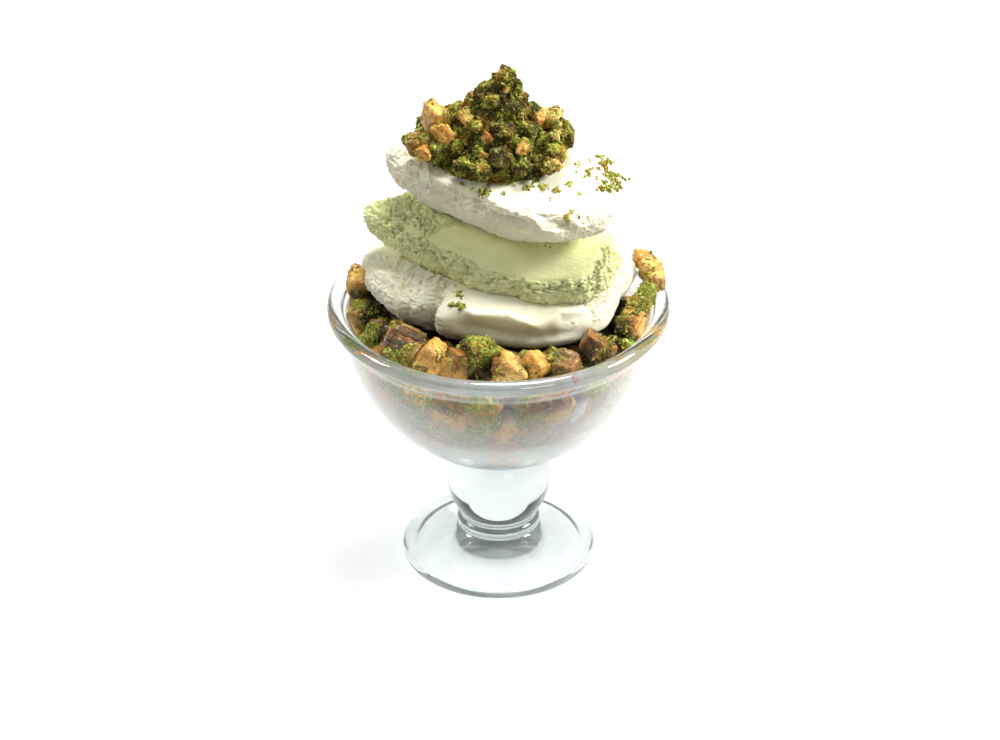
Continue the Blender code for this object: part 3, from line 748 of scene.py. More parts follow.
def geometry_tree(name, sockets):
    """A Geometry Nodes tree with geometry in and out, and named inputs as {name: (kind, value)}."""
    tree = bpy.data.node_groups.new(name, "GeometryNodeTree")
    tree.interface.new_socket("Geometry", in_out="INPUT", socket_type="NodeSocketGeometry")
    for socket_name, (kind, value) in sockets.items():
        socket = tree.interface.new_socket(socket_name, in_out="INPUT", socket_type="NodeSocket" + kind)
        if value is not None:
            socket.default_value = value
    tree.interface.new_socket("Geometry", in_out="OUTPUT", socket_type="NodeSocketGeometry")
    return tree, tree.nodes.new("NodeGroupInput").outputs, tree.nodes.new("NodeGroupOutput").inputs


def named_value(tree, name):
    """The number stored on the mesh under this name, in Geometry Nodes."""
    node = add_node(tree, "GeometryNodeInputNamedAttribute", {"data_type": "FLOAT"}, {"Name": name})
    return node.outputs[0]


def stored_value(tree, domain, geometry, name, value):
    """The geometry with a number stored on it under this name."""
    return add_node(tree, "GeometryNodeStoreNamedAttribute", {"data_type": "FLOAT", "domain": domain}, {
        "Geometry": geometry, "Name": name, "Value": value,
    }).outputs[0]


def run_tree(obj, tree, values, name):
    """What the tree makes of obj with these inputs, as a plain object. obj is removed."""
    modifier = obj.modifiers.new(tree.name, "NODES")
    modifier.node_group = tree
    for item in tree.interface.items_tree:
        if item.item_type == "SOCKET" and item.in_out == "INPUT" and item.name in values:
            modifier[item.identifier] = values[item.name]
    return settled(obj, name)


def relief_tree():
    """Raises a mesh along its normals by lumps, crags and grit where its "rough" attribute says, and by its
    "stroke" attribute. It stores how high the relief is, from 0 in the pits to 1 on the tips."""
    sizes = {name: ("Float", MM) for name in RELIEF_INPUTS}
    tree, given, out = geometry_tree("relief", {**sizes, "Seed": ("Float", 0.0)})
    rough, stroke = named_value(tree, "rough"), named_value(tree, "stroke")

    def lumps(size, detail):
        return add_node(tree, "ShaderNodeTexNoise", {"noise_dimensions": "4D"}, {
            "Scale": maths(tree, "DIVIDE", 1.0, given[size]), "W": given["Seed"], "Detail": detail,
            "Roughness": RELIEF_ROUGHNESS,
        }).outputs[0]

    lump = maths(tree, "SUBTRACT", lumps("Lump Size", LUMP_DETAIL), 0.5)
    crag = maths(tree, "ABSOLUTE", maths(tree, "MULTIPLY_ADD", lumps("Crag Size", CRAG_DETAIL), 2.0, -1.0))
    crag = maths(tree, "SUBTRACT", crag, CRAG_MIDDLE)
    grit = maths(tree, "SUBTRACT", lumps("Grit Size", GRIT_DETAIL), 0.5)
    lump_height = maths(tree, "MULTIPLY", lump, given["Lump Height"])
    crag_height = maths(tree, "MULTIPLY", crag, given["Crag Height"])
    grit_height = maths(tree, "MULTIPLY", grit, given["Grit Height"])
    small = maths(tree, "ADD", crag_height, grit_height)
    height = maths(tree, "MULTIPLY", maths(tree, "ADD", lump_height, small), rough)
    height = maths(tree, "ADD", height, stroke)
    level = maths(tree, "MULTIPLY_ADD", small, LEVEL_PER_METRE, 0.5, clamp=True)
    normal = add_node(tree, "GeometryNodeInputNormal").outputs[0]
    offset = vector_maths(tree, "SCALE", {0: normal, 3: height}).outputs[0]
    kept = stored_value(tree, "POINT", given["Geometry"], "level", level)
    moved = add_node(tree, "GeometryNodeSetPosition", None, {"Geometry": kept, "Offset": offset})
    tree.links.new(moved.outputs[0], out["Geometry"])
    return tree


def with_relief(obj, relief, sizes, seed, name):
    """obj with relief of these sizes in mm, as a plain object. obj is removed."""
    values = {key: size * MM for key, size in zip(RELIEF_INPUTS, sizes)}
    return run_tree(obj, relief, {**values, "Seed": seed}, name)


def grain_tree():
    """Scatters uneven grains over a mesh, more of them where its "where" attribute is high."""
    tree, given, out = geometry_tree("grains", {
        "Spacing": ("Float", MM),
        "Smallest": ("Float", MM),
        "Largest": ("Float", MM),
        "Seed": ("Int", 1),
        "Finish": ("Material", None),
    })

    def random_value(kind, lowest, highest, added):
        seed = maths(tree, "ADD", given["Seed"], added) if added else given["Seed"]
        low, high = ("Min", "Max") if kind == "FLOAT_VECTOR" else (2, 3)
        node = add_node(tree, "FunctionNodeRandomValue", {"data_type": kind}, {
            low: lowest, high: highest, "Seed": seed,
        })
        return node.outputs[0 if kind == "FLOAT_VECTOR" else 1]

    points = add_node(tree, "GeometryNodeDistributePointsOnFaces", {"distribute_method": "POISSON"}, {
        "Mesh": given["Geometry"], "Distance Min": given["Spacing"], "Density Max": MOST_PER_SQUARE_METRE,
        "Density Factor": named_value(tree, "where"), "Seed": given["Seed"],
    })
    grain = add_node(tree, "GeometryNodeMeshUVSphere", None, {
        "Radius": 0.5, "Segments": GRAIN_SIDES, "Rings": 2,
    })
    turn = random_value("FLOAT_VECTOR", (0.0,) * 3, (math.tau,) * 3, None)
    size = random_value("FLOAT", given["Smallest"], given["Largest"], SIZE_SEED)
    form = random_value("FLOAT_VECTOR", (GRAIN_STRETCH[0],) * 3, (GRAIN_STRETCH[1],) * 3, FORM_SEED)
    grains = add_node(tree, "GeometryNodeInstanceOnPoints", None, {
        "Points": points.outputs["Points"], "Instance": grain.outputs[0], "Rotation": turn,
        "Scale": vector_maths(tree, "SCALE", {0: form, 3: size}).outputs[0],
    })
    shade = random_value("FLOAT", 0.0, 1.0, SHADE_SEED)
    tinted = stored_value(tree, "INSTANCE", grains.outputs[0], "tint", shade)
    real = add_node(tree, "GeometryNodeRealizeInstances", None, {"Geometry": tinted})
    ready = add_node(tree, "GeometryNodeSetMaterial", None, {
        "Geometry": real.outputs[0], "Material": given["Finish"],
    })
    tree.links.new(ready.outputs[0], out["Geometry"])
    return tree


def with_grains(obj, grains, sizes, finish, name):
    """Grains of these sizes scattered over obj, as a plain object. obj is removed."""
    spacing, smallest, largest, seed = sizes
    return run_tree(obj, grains, {
        "Spacing": spacing * MM, "Smallest": smallest * MM, "Largest": largest * MM, "Seed": seed,
        "Finish": finish,
    }, name)


# ---------------------------------------------------------------- finishes

def material_tree(name):
    """A new material with its tree, Principled shader and Object coordinates."""
    material = bpy.data.materials.new(name)
    material.use_nodes = True
    tree = material.node_tree
    place = add_node(tree, "ShaderNodeTexCoord").outputs["Object"]
    return material, tree, tree.nodes["Principled BSDF"], place


def set_inputs(shader, values):
    """Sets constant values on a shader's own sockets."""
    for name, value in values.items():
        shader.inputs[name].default_value = value


def noise_of(tree, place, size, detail=3.0, roughness=0.5, distortion=0.0):
    """Noise whose lumps are about this size."""
    return add_node(tree, "ShaderNodeTexNoise", None, {
        "Vector": place, "Scale": 1.0 / size, "Detail": detail, "Roughness": roughness,
        "Distortion": distortion,
    }).outputs["Fac"]


def ramp(tree, value, stops):
    """A colour ramp through (position, colour) stops."""
    node = add_node(tree, "ShaderNodeValToRGB", None, {"Fac": value})
    points = node.color_ramp.elements
    for position, _ in stops[1:-1]:
        points.new(position)
    points[0].position, points[len(points) - 1].position = stops[0][0], stops[-1][0]
    for index, (_, colour) in enumerate(stops):
        points[index].color = (*colour, 1.0)
    return node.outputs["Color"]


def spread(tree, value, low, high, to_low=0.0, to_high=1.0):
    """value moved from one range to another, and held inside it."""
    return add_node(tree, "ShaderNodeMapRange", None, {
        "Value": value, "From Min": low, "From Max": high, "To Min": to_low, "To Max": to_high,
    }).outputs["Result"]


def blend_colours(tree, share, first, second):
    """A mix of two colours."""
    node = add_node(tree, "ShaderNodeMix", {"data_type": "RGBA"})
    for key, value in ((0, share), (6, first), (7, second)):
        if isinstance(value, bpy.types.NodeSocket):
            tree.links.new(value, node.inputs[key])
        else:
            node.inputs[key].default_value = (*value, 1.0) if isinstance(value, tuple) else value
    return node.outputs[2]


def bump(tree, shader, height, distance, strength=1.0, below=None):
    """Gives the shader a bump of this height and distance, on top of the bump below it."""
    inputs = {"Height": height, "Distance": distance, "Strength": strength}
    if below is not None:
        inputs["Normal"] = below
    node = add_node(tree, "ShaderNodeBump", None, inputs)
    tree.links.new(node.outputs[0], shader.inputs["Normal"])
    return node.outputs[0]


def attribute(tree, name):
    """The number stored on the mesh under this name."""
    return add_node(tree, "ShaderNodeAttribute", {"attribute_name": name}).outputs["Fac"]


def part_of(tree, vector, axis):
    """One of a vector's three numbers."""
    return add_node(tree, "ShaderNodeSeparateXYZ", None, {0: vector}).outputs[axis]


def edge_frost(tree, height):
    """Frost where the bowl is seen edge on."""
    facing = add_node(tree, "ShaderNodeLayerWeight", None, {"Blend": 0.5}).outputs["Facing"]
    edge = spread(tree, facing, *EDGE_FACING, 0.0, EDGE_FROST)
    edge = maths(tree, "MULTIPLY", edge, spread(tree, height, *EDGE_FOOT_Z))
    return maths(tree, "MULTIPLY", edge, spread(tree, height, *EDGE_TOP_Z))


def frost_share(tree, place):
    """How frosted the cold glass is: most low on the bowl and where it is seen edge on, none on the stem."""
    height = part_of(tree, place, 2)
    stops = [(at, (share,) * 3) for at, share in FROST_BY_HEIGHT]
    by_height = ramp(tree, maths(tree, "DIVIDE", height, FROST_SPAN), stops)
    cloud = spread(tree, noise_of(tree, place, FROST_CLOUD, 4.0, 0.6), 0.3, 0.7, 0.45, 1.15)
    flat = add_node(tree, "ShaderNodeMapping", None, {"Vector": place, "Scale": FROST_FLATTENED}).outputs[0]
    streaks = spread(tree, noise_of(tree, flat, FROST_STREAK, 3.0, 0.6), 0.35, 0.65, 0.75, 1.25)
    share = maths(tree, "MULTIPLY", maths(tree, "MULTIPLY", by_height, cloud), streaks)
    edge = edge_frost(tree, height)
    clear = spread(tree, maths(tree, "ABSOLUTE", part_of(tree, place, 0)), *RIM_CLEAR_X)
    clear = maths(tree, "MULTIPLY", clear, spread(tree, height, *RIM_CLEAR_Z, 0.0, RIM_CLEAR))
    share = maths(tree, "MULTIPLY", share, maths(tree, "SUBTRACT", 1.0, clear))
    away = vector_maths(tree, "DISTANCE", {0: place, 1: FROST_PATCH}).outputs["Value"]
    patch = spread(tree, away, *FROST_PATCH_EDGE, 0.0, FROST_PATCH_SHARE)
    return maths(tree, "MAXIMUM", maths(tree, "ADD", share, edge), patch, clamp=True)


def glass_finish():
    """Clear pressed glass, cold and frosted on the bowl. It lets lamps through."""
    material, tree, shader, place = material_tree("clear_glass")
    set_inputs(shader, {"Base Color": (*GLASS_COLOUR, 1.0), "IOR": 1.5, "Specular IOR Level": 0.5})
    frost = frost_share(tree, place)
    clearness = maths(tree, "MULTIPLY_ADD", frost, -FROST_WHITE, 1.0)
    tree.links.new(clearness, shader.inputs["Transmission Weight"])
    tree.links.new(maths(tree, "MULTIPLY", frost, FROST_MIRROR), shader.inputs["Metallic"])
    tree.links.new(maths(tree, "MULTIPLY_ADD", frost, FROST_BLUR, 0.01), shader.inputs["Roughness"])
    bump(tree, shader, noise_of(tree, place, GLASS_RIPPLE, 1.0), GLASS_RIPPLE_HEIGHT, 0.6)
    lamp_side = add_node(tree, "ShaderNodeBsdfTransparent", None, {"Color": (*GLASS_LAMP_SHADE, 1.0)})
    path = add_node(tree, "ShaderNodeLightPath")
    mixed = add_node(tree, "ShaderNodeMixShader", None, {
        0: path.outputs["Is Shadow Ray"], 1: shader.outputs[0], 2: lamp_side.outputs[0],
    })
    inside = add_node(tree, "ShaderNodeVolumeAbsorption", None, {
        "Color": (*GLASS_DEPTH_SHADE, 1.0), "Density": GLASS_DENSITY,
    })
    output = tree.nodes["Material Output"]
    tree.links.new(mixed.outputs[0], output.inputs["Surface"])
    tree.links.new(inside.outputs[0], output.inputs["Volume"])
    return material


def ice_cream_finish(name, shades, flecks):
    """Dense ice cream: chalky and fibrous where torn, satin where the spatula passed."""
    pale, pit_shade_colour, nut = shades
    material, tree, shader, place = material_tree(name)
    torn = attribute(tree, "torn")
    level = attribute(tree, "level")
    cloud = spread(tree, noise_of(tree, place, CREAM_CLOUD, 3.0), 0.3, 0.7, 0.0, 0.5)
    # Painted shade: the pits of the torn relief take the darker pit colour
    pit_shade = maths(tree, "MULTIPLY", torn, spread(tree, level, 0.62, 0.22, 0.0, 0.85))
    colour = blend_colours(tree, maths(tree, "MAXIMUM", cloud, pit_shade), pale, pit_shade_colour)
    cells = add_node(tree, "ShaderNodeTexVoronoi", None, {"Vector": place, "Scale": 1.0 / FLECK_SPACING})
    size = spread(tree, noise_of(tree, place, FLECK_CLOUD, 2.0), 0.45, 0.75, FLECK_LEAST, flecks)
    fleck = spread(tree, maths(tree, "SUBTRACT", size, cells.outputs["Distance"]), 0.0, FLECK_EDGE)
    tree.links.new(blend_colours(tree, fleck, colour, nut), shader.inputs["Base Color"])
    set_inputs(shader, {
        "Subsurface Weight": 0.40, "Subsurface Radius": (1.0, 0.88, 0.6), "Subsurface Scale": CREAM_GLOW,
        "IOR": 1.36,
    })
    roughness = spread(tree, torn, 0.0, 1.0, SATIN_ROUGHNESS, TORN_ROUGHNESS)
    tree.links.new(roughness, shader.inputs["Roughness"])
    drawn = add_node(tree, "ShaderNodeMapping", None, {
        "Vector": place, "Rotation": FIBRE_TURN, "Scale": FIBRE_DRAWN,
    }).outputs[0]
    fibres = bump(tree, shader, noise_of(tree, drawn, FIBRE, 4.0, 0.65, 0.6), FIBRE_HEIGHT)
    tree.links.new(spread(tree, torn, 0.0, 1.0, 0.10, 1.0), fibres.node.inputs["Strength"])
    return material


def baked_pastry(tree, place, stops, leaf, mottle):
    """Bare pastry's colour: its shade, painted shade between leaves and in pits, scorched edges, buttery
    spots.
    """
    colour = ramp(tree, attribute(tree, "tint"), stops)
    # Painted shade between the leaves and in the pits
    colour = blend_colours(tree, maths(tree, "MULTIPLY", leaf, 0.33), colour, LEAF_GAP_SHADE)
    pit_shade = spread(tree, attribute(tree, "level"), 0.38, 0.10, 0.0, 0.7)
    colour = blend_colours(tree, pit_shade, colour, PASTRY_PIT_SHADE)
    scorch = spread(tree, noise_of(tree, place, SCORCH_PATCH, 3.0, 0.6), 0.48, 0.68, 0.0, 0.65)
    edge = maths(tree, "MULTIPLY", attribute(tree, "edge"), spread(tree, mottle, 0.30, 0.55, 0.25, 0.85))
    colour = blend_colours(tree, maths(tree, "MAXIMUM", scorch, edge), colour, SCORCHED)
    butter = spread(tree, noise_of(tree, place, BUTTER_PATCH, 2.0), 0.58, 0.72, 0.0, 0.28)
    return blend_colours(tree, butter, colour, BUTTERY)


def baklava_finish(name, stops, glow):
    """Baked layers of pastry, with ground pistachio on some faces. glow is how far light soaks into it."""
    material, tree, shader, place = material_tree(name)
    mottle = noise_of(tree, place, PASTRY_MOTTLE, 4.0, 0.65)
    waves = add_node(tree, "ShaderNodeTexWave", {"wave_type": "BANDS", "bands_direction": "Z"}, {
        "Vector": add_node(tree, "ShaderNodeCombineXYZ", None, {2: attribute(tree, "layer")}).outputs[0],
        "Scale": 1.0, "Distortion": 0.0,
    }).outputs["Fac"]
    leaves = maths(tree, "MULTIPLY", waves, spread(tree, mottle, 0.35, 0.6))
    pastry = baked_pastry(tree, place, stops, leaves, mottle)
    dust = ramp(tree, noise_of(tree, place, DUST_PATCH, 4.0, 0.7), NUT_DUST)
    nut = maths(tree, "ADD", attribute(tree, "nut"), spread(tree, mottle, 0.3, 0.7, -0.35, 0.35))
    share = spread(tree, nut, 0.35, 0.6)
    colour = blend_colours(tree, share, pastry, dust)
    # Painted shade: the deep gaps and the faces turned from the glass darken towards near black
    gap_shade = maths(tree, "MULTIPLY", attribute(tree, "deep"), PAINTED_GAP_SHARE)
    tree.links.new(blend_colours(tree, gap_shade, colour, PAINTED_GAP_SHADE), shader.inputs["Base Color"])
    tree.links.new(spread(tree, share, 0.0, 1.0, 0.28, 0.8), shader.inputs["Roughness"])
    tree.links.new(spread(tree, share, 0.0, 0.6, SYRUP, 0.0), shader.inputs["Coat Weight"])
    set_inputs(shader, {
        "IOR": 1.47, "Specular IOR Level": 0.3, "Coat Roughness": 0.12, "Subsurface Weight": 0.4,
        "Subsurface Radius": (1.0, 0.6, 0.22), "Subsurface Scale": glow,
    })
    coarse = bump(tree, shader, mottle, PASTRY_MOTTLE_HEIGHT, 0.7)
    bump(tree, shader, leaves, LEAF_BUMP, 0.6, coarse)
    return material


def nut_finish(name, darkest_patch):
    """Ground nut and crumbs: each grain takes its own shade, and noise lays near-black patches at random; the
    last argument says how dark they get.
    """
    material, tree, shader, place = material_tree(name)
    shade = ramp(tree, attribute(tree, "tint"), GREEN_GRAINS)
    mottle = spread(tree, noise_of(tree, place, NUT_MOTTLE, 3.0), 0.3, 0.7, 0.65, 1.10)
    mottled = vector_maths(tree, "SCALE", {0: shade, 3: mottle}).outputs[0]
    apart = vector_maths(tree, "ADD", {0: place, 1: BAKED_OFFSET}).outputs[0]
    baked = spread(tree, noise_of(tree, apart, BAKED_PATCH, 3.0, 0.6), 0.50, 0.60, 0.0, 0.65)
    colour = blend_colours(tree, baked, mottled, BAKED_NUT)
    # Near-black patches laid at random by noise
    dark = spread(tree, noise_of(tree, place, NUT_DARK_PATCH_SIZE, 3.0, 0.6), 0.42, 0.58, 0.0, darkest_patch)
    tree.links.new(blend_colours(tree, dark, colour, NUT_DARK_PATCH), shader.inputs["Base Color"])
    set_inputs(shader, {
        "Roughness": NUT_ROUGHNESS, "Specular IOR Level": 0.25, "Subsurface Weight": NUT_GLOW_SHARE,
        "Subsurface Radius": (1.0, 0.8, 0.3), "Subsurface Scale": NUT_GLOW,
    })
    bump(tree, shader, noise_of(tree, place, NUT_BUMP, 2.0), NUT_BUMP_HEIGHT, 0.7)
    return material


def floor_finish():
    """A plain pale lit floor, dimmer in what it sheds on the cup."""
    material, tree, shader, place = material_tree("studio_floor")
    set_inputs(shader, {"Roughness": 0.9, "Specular IOR Level": 0.0})
    cloud = blend_colours(tree, noise_of(tree, place, FLOOR_CLOUD, 1.0), *FLOOR_SHADES)
    tree.links.new(cloud, shader.inputs["Base Color"])
    glow = add_node(tree, "ShaderNodeEmission", None, {"Color": (*FLOOR_LIGHT, 1.0), "Strength": FLOOR_GLOW})
    both = add_node(tree, "ShaderNodeAddShader", None, {0: shader.outputs[0], 1: glow.outputs[0]})
    path = add_node(tree, "ShaderNodeLightPath")
    seen = add_node(tree, "ShaderNodeMixShader", None, {
        0: path.outputs["Is Diffuse Ray"], 1: both.outputs[0], 2: shader.outputs[0],
    })
    tree.links.new(seen.outputs[0], tree.nodes["Material Output"].inputs["Surface"])
    return material


# ---------------------------------------------------------------- glass cup

def superellipse(radius, base_z, top_z, powers, z):
    """Radius at height z of a bowl that is widest at top_z and closes at base_z."""
    down = min(max((top_z - z) / (top_z - base_z), 0.0), 1.0)
    return radius * (1.0 - down ** powers[0]) ** (1.0 / powers[1])


def bowl_curve(radius, base_z, top_z, powers, steps, start=0.0):
    """Points (r, z) up a superellipse bowl, closer together near its base."""
    points = []
    for step in range(steps):
        share = start + (1.0 - start) * step / (steps - 1)
        z = base_z + (top_z - base_z) * (1.0 - math.cos(share * math.pi / 2))
        points.append((superellipse(radius, base_z, top_z, powers, z), z))
    return points


def arc(centre_r, centre_z, radius, start, end, steps):
    """Points (r, z) on an arc, its angles in degrees from +r towards +z."""
    angles = [math.radians(start + (end - start) * step / (steps - 1)) for step in range(steps)]
    return [(centre_r + radius * math.cos(a), centre_z + radius * math.sin(a)) for a in angles]


def hollow_profile(inset, steps):
    """The bowl's inner curve from the axis up to the bead, moved inwards by inset."""
    return bowl_curve(HOLLOW_RADIUS - inset, HOLLOW_BASE_Z + inset, HOLLOW_TOP_Z, HOLLOW_POWERS, steps)


def softened(points, rounds):
    """A line of points with its corners cut, its ends kept."""
    for _ in range(rounds):
        cut = [points[0]]
        for (r0, z0), (r1, z1) in zip(points, points[1:]):
            cut.append((0.75 * r0 + 0.25 * r1, 0.75 * z0 + 0.25 * z1))
            cut.append((0.25 * r0 + 0.75 * r1, 0.25 * z0 + 0.75 * z1))
        points = cut + [points[-1]]
    return points


def cup_profile():
    """The cup's section: up the inside, over the bead, and down the outside to the foot's underside."""
    inside = hollow_profile(0.0, HOLLOW_STEPS)
    bead = arc(BEAD_RADIUS, BEAD_Z, BEAD, *BEAD_ARC)
    outside = bowl_curve(BOWL_RADIUS, BOWL_BASE_Z, BOWL_TOP_Z, BOWL_POWERS, BOWL_STEPS, BOWL_START)[::-1]
    angles = [math.degrees(math.acos(r / BALL_RADIUS)) for r in (BOWL_JOIN_RADIUS, COLLAR_JOIN_RADIUS)]
    ball = arc(0.0, BALL_Z, BALL_RADIUS, angles[0], -angles[1], BALL_STEPS)
    collar = arc(COLLAR_RADIUS - COLLAR_ROUND, COLLAR_Z, COLLAR_ROUND, *COLLAR_ARC)
    edge = arc(FOOT_RADIUS - FOOT_EDGE, FOOT_EDGE, FOOT_EDGE, *FOOT_ARC)
    line = inside + bead + BAND + outside + ball + collar + FOOT_SLOPE + edge + FOOT_UNDER
    return softened(line + [(0.0, FOOT_KICK)], 1)


def turned(name, profile, steps):
    """A closed solid turned from a profile of (r, z) points whose ends are on the axis."""
    points = []
    for r, z in profile[1:-1]:
        for step in range(steps):
            angle = math.tau * step / steps
            points.append((r * math.cos(angle), r * math.sin(angle), z))
    first, last = len(points), len(points) + 1
    points += [(0.0, 0.0, profile[0][1]), (0.0, 0.0, profile[-1][1])]
    rows = len(profile) - 2
    faces = []
    for step in range(steps):
        beside = (step + 1) % steps
        faces.append((first, beside, step))
        faces.append((last, (rows - 1) * steps + step, (rows - 1) * steps + beside))
        for row in range(rows - 1):
            here, there = row * steps, (row + 1) * steps
            faces.append((here + step, here + beside, there + beside, there + step))
    obj = mesh_object(name, points, faces)
    facing_out(obj)
    return smooth(obj)


def glass_cup():
    """The pressed glass cup, turned in fine steps."""
    cup = turned("footed_glass", cup_profile(), TURN_STEPS)
    cup.data.materials.append(glass_finish())
    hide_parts("glass_cup")
    return cup


# ---------------------------------------------------------------- slabs of ice cream

def outline_share(angle, slab):
    """How far out the slab's edge is at each angle, as a share of its ellipse."""
    share = np.ones_like(angle)
    for count, (cosine, sine) in enumerate(slab["waves"], start=2):
        share += cosine * np.cos(count * angle) + sine * np.sin(count * angle)
    for direction, depth, width in slab["folds"]:
        share -= depth * np.exp(-((degrees_off(np.degrees(angle), direction) / width) ** 2))
    return share


def torn_share(directions, wander, slab):
    """How torn the slab is in each direction, from 0 to 1. wander moves the edges of the torn patches."""
    angles = np.degrees(np.arctan2(directions[:, 1], directions[:, 0]))
    level = directions[:, 2] + TORN_LEVEL_WANDER * wander
    torn = np.zeros(len(directions))
    for middle, half, low, high in slab["torn"]:
        off = np.abs(degrees_off(angles, middle)) + TORN_WANDER * wander
        patch = soft_step(half + TORN_EDGE - off, 0.0, 2 * TORN_EDGE)
        above = soft_step(level, low - TORN_LEVEL_EDGE, low + TORN_LEVEL_EDGE)
        below = soft_step(high - level, -TORN_LEVEL_EDGE, TORN_LEVEL_EDGE)
        torn = np.maximum(torn, patch * (above * below))
    return torn


def slab_form(directions, slab):
    """Where each direction of a unit ball goes on the slab's plain form, before it is turned into place."""
    angle = np.arctan2(directions[:, 1], directions[:, 0])
    half_x, half_y, half_z = slab["half"]
    round_share = np.hypot(directions[:, 0], directions[:, 1]) ** SLAB_ROUND_POWER
    reach = outline_share(angle, slab) * round_share
    x, y = half_x * reach * np.cos(angle), half_y * reach * np.sin(angle)
    z = half_z * np.copysign(np.abs(directions[:, 2]) ** SLAB_SIDE_POWER, directions[:, 2])
    z += slab["curl"][0] * (x / half_x) ** 2 + slab["curl"][1] * (y / half_y) ** 2
    off = degrees_off(np.degrees(angle), UNDERCUT_AT)
    lift = slab["undercut"] * soft_step(UNDERCUT_HALF - np.abs(off), 0.0, UNDERCUT_FADE) * round_share ** 4
    z = np.where(z < 0.0, z * (1.0 - lift), z)
    z -= slab["belly"] * (1.0 - round_share) ** 0.5 * np.maximum(-directions[:, 2], 0.0)
    return np.stack([x, y, z], axis=1)


def stroke_height(points, slab):
    """How far the strokes of the spatula raise each point."""
    height = np.zeros(len(points))
    for line, width, rise in slab["strokes"]:
        line = np.array(line, float)
        along = np.linspace(0.0, len(line) - 1.0, STROKE_STEPS * len(line))
        turns = np.radians(np.interp(along, np.arange(len(line)), line[:, 0]))
        levels = np.interp(along, np.arange(len(line)), line[:, 1])
        flat = np.sqrt(1.0 - levels ** 2)
        path = slab_form(np.stack([flat * np.cos(turns), flat * np.sin(turns), levels], axis=1), slab)
        ends = np.minimum(1.0, np.minimum(along, along[-1] - along) / STROKE_FADE)
        strength = np.zeros(len(points))
        for place, end in zip(path, ends):
            far = ((points - place) ** 2).sum(1)
            strength = np.maximum(strength, end * np.exp(-far / (width * MM) ** 2))
        height += rise * MM * strength
    return height


def slab_body(name, slab):
    """A slab of ice cream: a ball drawn out to the slab's form, with its strokes and torn patches marked."""
    directions, faces = ball_grid(SLAB_AROUND, SLAB_ACROSS)
    form = slab_form(directions, slab)
    seed = slab["seed"]
    lumps = noise_at(form, SLAB_LARGE_LUMP, (seed, 0, 0))
    lumps = lumps + SLAB_SMALL_SHARE * noise_at(form, SLAB_SMALL_LUMP, (0, seed, 0))
    edge = (np.hypot(directions[:, 0], directions[:, 1]) ** SLAB_ROUND_POWER) ** 6
    points = form + directions * (lumps * SLAB_ROUGH * edge)[:, None]
    turn = np.array(slab["turn"].to_matrix())
    obj = mesh_object(name, points @ turn.T + np.array(slab["middle"]), faces)
    torn = torn_share(directions, noise_at(form, TORN_CLOUD, (0, 0, seed)), slab)
    point_value(obj, "torn", torn)
    point_value(obj, "rough", SLAB_SMOOTH_RELIEF + (1.0 - SLAB_SMOOTH_RELIEF) * torn)
    point_value(obj, "stroke", stroke_height(form, slab))
    return obj


def ice_cream_slab(name, piece_name, relief, support, finish):
    """The detailed slab that stands for a node, resting on the surface below it."""
    slab = SLABS[name]
    lump, crag, grit = SLAB_RELIEF_SIZES
    sizes = (lump, SLAB_LUMPS, crag, -slab["crags"], grit, slab["grit"])
    body = with_relief(slab_body(piece_name, slab), relief, sizes, slab["seed"], piece_name)
    rest_on(body, support, SLAB_GAP)
    body.data.materials.append(finish)
    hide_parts(name)
    return smooth(body)


# ---------------------------------------------------------------- chopped baklava

def unit_block(steps):
    """Points and faces of a cube of side 1 about the origin, each side a grid of this many steps."""
    index, points, faces = {}, [], []
    for axis, end in itertools.product(range(3), (0, steps)):
        for i, j in itertools.product(range(steps), repeat=2):
            corners = [(i, j), (i + 1, j), (i + 1, j + 1), (i, j + 1)]
            if (end == 0) == (axis != 1):
                corners.reverse()
            face = []
            for a, b in corners:
                key = [a, b]
                key.insert(axis, end)
                if tuple(key) not in index:
                    index[tuple(key)] = len(points)
                    points.append([k / steps - 0.5 for k in key])
                face.append(index[tuple(key)])
            faces.append(face)
    return np.array(points), np.array(faces)


def rounded(points, power):
    """Points of a cube of side 1 with its edges rounded, sharper for a higher power."""
    largest = np.abs(points).max(1)
    norm = (np.abs(points) ** power).sum(1) ** (1.0 / power)
    return points * (largest / norm)[:, None]


BLOCKS = {steps: unit_block(steps) for steps in (PLAIN_BLOCK, FINE_BLOCK)}
CORNER_SIGNS = np.array(list(itertools.product((-1.0, 1.0), repeat=3)))


def block_points(corners, grid, power=BLOCK_POWER):
    """The rounded block drawn between eight corners, in the order of itertools.product."""
    weights = np.prod(0.5 + rounded(grid, power)[:, None, :] * CORNER_SIGNS[None], axis=2)
    return weights @ np.array(corners)


def any_turn(draw):
    """A random rotation."""
    return Euler([draw.uniform(0, 2 * math.pi) for _ in range(3)])


def uneven(draw, most):
    """A small random step in each direction."""
    return Vector([draw.uniform(-most, most) for _ in range(3)])


def chunk_points(size, turn, draw, most=UNEVEN_CORNERS):
    """Corners of a chopped piece: a box with uneven corners, about its middle."""
    corners = itertools.product((-0.5, 0.5), repeat=3)
    return [turn.to_matrix() @ (Vector(c) + uneven(draw, most)) * size for c in corners]


def stick_points(start, end, width, draw):
    """Corners of a long piece between two places."""
    turn = (end - start).to_track_quat("Z", "Y").to_matrix()
    sides = [Vector((x, y, 0.0)) for x, y in itertools.product((-0.5, 0.5), repeat=2)]
    ends = [(place, side) for place in (start, end) for side in sides]
    return [place + turn @ (side + uneven(draw, UNEVEN_CORNERS)) * width for place, side in ends]


